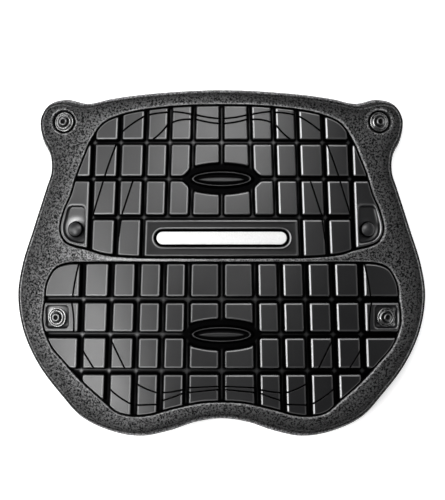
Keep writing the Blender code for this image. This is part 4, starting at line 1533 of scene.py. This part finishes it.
@dataclass
class Studio:
    """Floor, lights and camera: straight above the pad, as the photo looks at it. Columns of the lamps:
    where it hangs (across, up and height), its width and depth in metres, and its radiance."""

    frame_width: float = 274.2 * MM
    middle: tuple[float, float, float] = (0.5 * MM, 8.0 * MM, 14.0 * MM)
    distance: float = 5.0
    lamps: dict[str, Row] = field(
        default_factory=lambda: {
            "top_box": (-0.05, 0.62, 1.60, 1.00, 0.70, 7.0),
            "left_box": (-1.20, -0.62, 1.50, 0.80, 0.70, 12.0),
            "left_wash": (-0.95, 0.30, 1.55, 0.90, 0.90, 2.4),
            "left_low": (-1.45, -0.05, 0.60, 0.50, 2.00, 4.2),
            "top_right": (0.62, 0.98, 1.45, 0.50, 0.36, 5.0),
            "right_soft": (0.62, 0.34, 1.50, 0.46, 0.60, 1.1),
            "high_soft": (0.75, -0.55, 6.00, 2.60, 1.30, 1.3),
            "right_strip": (1.50, -0.10, 0.55, 0.30, 1.40, 0.5),
        }
    )
    air: float = 0.10
    floor_glow: float = 0.6
    floor_reach: float = 6.0

    def build(self) -> None:
        """Builds the studio."""
        self.add_floor()
        for name, row in self.lamps.items():
            self.add_lamp(name, row)
        world = bpy.data.worlds.new("studio_air")
        world.use_nodes = True
        world.node_tree.nodes["Background"].inputs["Color"].default_value = (1.0, 1.0, 1.0, 1.0)
        world.node_tree.nodes["Background"].inputs["Strength"].default_value = self.air
        bpy.context.scene.world = world
        bpy.context.scene.view_settings.view_transform = "Standard"
        self.add_camera()

    def add_floor(self) -> None:
        """A pale floor under the pad."""
        mesh = bpy.data.meshes.new("floor")
        reach = self.floor_reach
        corners = [(-reach, -reach, 0), (reach, -reach, 0), (reach, reach, 0), (-reach, reach, 0)]
        mesh.from_pydata(corners, [], [(0, 1, 2, 3)])
        material = bpy.data.materials.new("pale_floor")
        material.use_nodes = True
        shader = material.node_tree.nodes["Principled BSDF"]
        shader.inputs["Base Color"].default_value = (0.92, 0.92, 0.92, 1.0)
        shader.inputs["Roughness"].default_value = 0.9
        shader.inputs["Emission Color"].default_value = (1.0, 1.0, 1.0, 1.0)
        shader.inputs["Emission Strength"].default_value = self.floor_glow
        mesh.materials.append(material)
        floor = bpy.data.objects.new("floor", mesh)
        bpy.context.scene.collection.objects.link(floor)

    def add_lamp(self, name: str, row: Row) -> None:
        """A soft box that faces the pad, with the power that its size and radiance ask for.

        Args:
            name: the lamp's name.
            row: its row of the table.
        """
        *place, width, depth, radiance = row
        lamp = bpy.data.lights.new(name, "AREA")
        lamp.shape = "RECTANGLE"
        lamp.size = width
        lamp.size_y = depth
        lamp.energy = math.pi * width * depth * radiance
        holder = bpy.data.objects.new(name, lamp)
        holder.location = place
        holder.rotation_euler = (-Vector(place)).to_track_quat("-Z", "Y").to_euler()
        bpy.context.scene.collection.objects.link(holder)

    def add_camera(self) -> None:
        """A long lens straight above the pad, whose view at the pad's middle height is the frame width."""
        camera = bpy.data.cameras.new("camera")
        camera.sensor_fit = "HORIZONTAL"
        camera.sensor_width = 36.0
        camera.lens = camera.sensor_width * self.distance / self.frame_width
        camera.clip_end = 50.0
        holder = bpy.data.objects.new("camera", camera)
        across, up, height = self.middle
        holder.location = (across, up, height + self.distance)
        bpy.context.scene.collection.objects.link(holder)
        bpy.context.scene.camera = holder


# Rows of the recesses. Columns: millimetres out from the edge, level, painted highlight value and painted
# shade value.
RIVET_WELL_ROWS = (
    (2.0, 0.0, 0.0, 0.0), (1.5, 0.04, 0.3, 0.0), (1.1, 0.14, 0.9, 0.0), (0.6, 0.14, 0.9, 0.0),
    (0.25, 0.0, 0.3, 0.0), (0.0, -0.45, 0.0, 0.0), (-0.2, -1.2, 0.0, 0.0), (-0.5, -1.75, 0.0, 0.0),
    (-0.95, -1.97, 0.0, 0.0), (-1.6, -2.0, 0.0, 0.0),
)
STUD_WELL_ROWS = (
    (1.3, 0.0, 0.0, 0.0), (0.9, 0.04, 0.4, 0.0), (0.6, 0.12, 0.9, 0.0), (0.3, 0.08, 0.6, 0.0),
    (0.1, -0.1, 0.1, 0.0), (-0.1, -0.6, 0.0, 0.0), (-0.3, -1.3, 0.0, 0.0), (-0.6, -1.8, 0.0, 0.0),
    (-1.0, -1.98, 0.1, 0.0), (-1.8, -2.0, 0.2, 0.0),
)
PANEL_FRAME = ((-1.6, -0.12, 0.0, 0.45), (-2.1, -0.22, 0.0, 0.6))
PANEL_ROWS = (
    (3.4, -0.22, 0.0, 0.6), (3.0, -0.2, 0.0, 0.6), (2.75, -0.02, 0.2, 0.4), (2.5, 0.05, 0.9, 0.0),
    (2.2, 0.02, 0.9, 0.0), (1.95, 0.1, 0.4, 0.0), (1.7, -0.2, 0.0, 0.5), (1.6, -0.8, 0.0, 1.0),
    (1.5, -1.5, 0.0, 1.0), (1.2, -1.8, 0.0, 1.0), (0.2, -1.8, 0.0, 1.0), (-1.5, -1.8, 0.0, 1.0),
)
# How strong the painted sheen on a well's floor is on either side
SHEEN_BY_SIDE = {Side.LEFT: 0.65, Side.RIGHT: 0.03}


@dataclass
class Protector:
    """The whole chest protector."""

    steps: int = 12
    upper_groove: float = 3.1 * MM
    lower_groove: float = 4.0 * MM
    lower_row_line: float = 0.3
    corner: float = 2.6 * MM
    stud_rim: float = 5.6 * MM
    panel_rays: int = 220
    stud_well: float = 14.2 * MM
    stud_dish_level: float = -2.2 * MM
    well_level: float = -1.7 * MM
    form: ChestForm = field(default_factory=ChestForm)

    def set_down(self) -> Outline:
        """Finds the pad's flat outline and how far the bent pad is raised to lie on the ground.

        Returns:
            The pad's outline in the flat drawing.
        """
        seen = Outline.of_table(PAD_OUTLINE, self.form, self.steps)
        outline = Outline(self.form.spread(seen.ring, self.form.underside + 3.0 * MM))
        self.form.lift = -float(self.form.raised(outline.ring, self.form.underside)[:, 2].min())
        return outline

    def rivet_wells(self) -> list[Recess]:
        """The two wells of the upper plate, which lean with its edge."""
        found = []
        for side in Side:
            corners = np.array([self.form.place(row, side) for row in RIVET_WELL])
            corners = corners if side is Side.LEFT else corners[::-1]
            region = polygon_field(corners, self.corner)
            rivet = self.form.place(RIVET_PLACE, side)
            found.append(
                Recess(region, corners.mean(axis=0), RIVET_WELL_ROWS, dip_place=rivet, sheen_strength=SHEEN_BY_SIDE[side])
            )
        return found

    def stud_wells(self) -> list[Recess]:
        """The two square wells of the lower plate."""
        half = self.stud_well / 2
        square = np.array([(-half, -half), (half, -half), (half, half), (-half, half)])
        found = []
        for side in Side:
            place = self.form.place(STUD_WELL_PLACE, side)
            stud = self.form.place(LOW_STUD_PLACE, side)
            region = polygon_field(square + place, self.corner)
            sheen_strength = SHEEN_BY_SIDE[side]
            found.append(
                Recess(region, place, STUD_WELL_ROWS, dip_place=stud, dip_radius=self.stud_rim, sheen_strength=sheen_strength)
            )
        return found

    def panel(self) -> Recess:
        """The bar's seat in the panel, with a low ridge round it."""
        centre = self.form.place((0.0, PANEL_UP))
        seat = stadium_field(centre, InlayBar.length, InlayBar.width)
        return Recess(seat, centre, PANEL_ROWS, PANEL_FRAME, rays=self.panel_rays)

    def build(self) -> None:
        """Builds every piece and dresses it."""
        grain = grain_group()
        kinds = (FOAM_FINISH, PLATE_FINISH, BAR_FINISH, NICKEL_FINISH, RIVET_FINISH)
        foam, plastic, pale, nickel, black = (kind.made(grain) for kind in kinds)
        pad_outline = self.set_down()
        upper = Outline.of_table(UPPER_OUTLINE, self.form, self.steps)
        lower = Outline.of_table(LOWER_OUTLINE, self.form, self.steps)
        ears = [self.form.place(EAR_STUD_PLACE, side) for side in Side]
        lows = [self.form.place(LOW_STUD_PLACE, side) for side in Side]
        rivets = [self.form.place(RIVET_PLACE, side) for side in Side]
        FoamPad(self.form, pad_outline, [upper, lower], ears, ears + lows + rivets).build(foam)
        Plate(
            "upper_plate", self.form, upper, UPPER_ROWS, UPPER_FAN, UPPER_CUTS, self.upper_groove,
            UPPER_BOSS_UP, [*self.rivet_wells(), self.panel()], joined_ends=True, wide_panel=True,
        ).build(plastic)
        Plate(
            "lower_plate", self.form, lower, LOWER_ROWS, LOWER_FAN, LOWER_CUTS, self.lower_groove,
            LOWER_BOSS_UP, self.stud_wells(), row_line=self.lower_row_line,
        ).build(plastic)
        InlayBar(self.form).build(pale)
        for side, ear, low, rivet in zip(Side, ears, lows, rivets):
            PressStud(self.form, Seat.EAR, side, ear, self.stud_dish_level).build(nickel)
            PressStud(self.form, Seat.LOW, side, low, self.well_level).build(nickel)
            DomeRivet(self.form, side, rivet, self.well_level).build(black)
        self.dress_posts(nickel)

    def dress_posts(self, material: bpy.types.Material) -> None:
        """Gives the frame's own stud posts the studs' finish."""
        for name, node in frame["nodes"].items():
            if name.startswith("stud_post"):
                node.data.materials.clear()
                node.data.materials.append(material)


def main() -> None:
    """Builds the studio and the chest protector."""
    logging.basicConfig(level=logging.INFO, format="%(message)s")
    Studio().build()
    Protector().build()


if __name__ == "__main__":
    main()
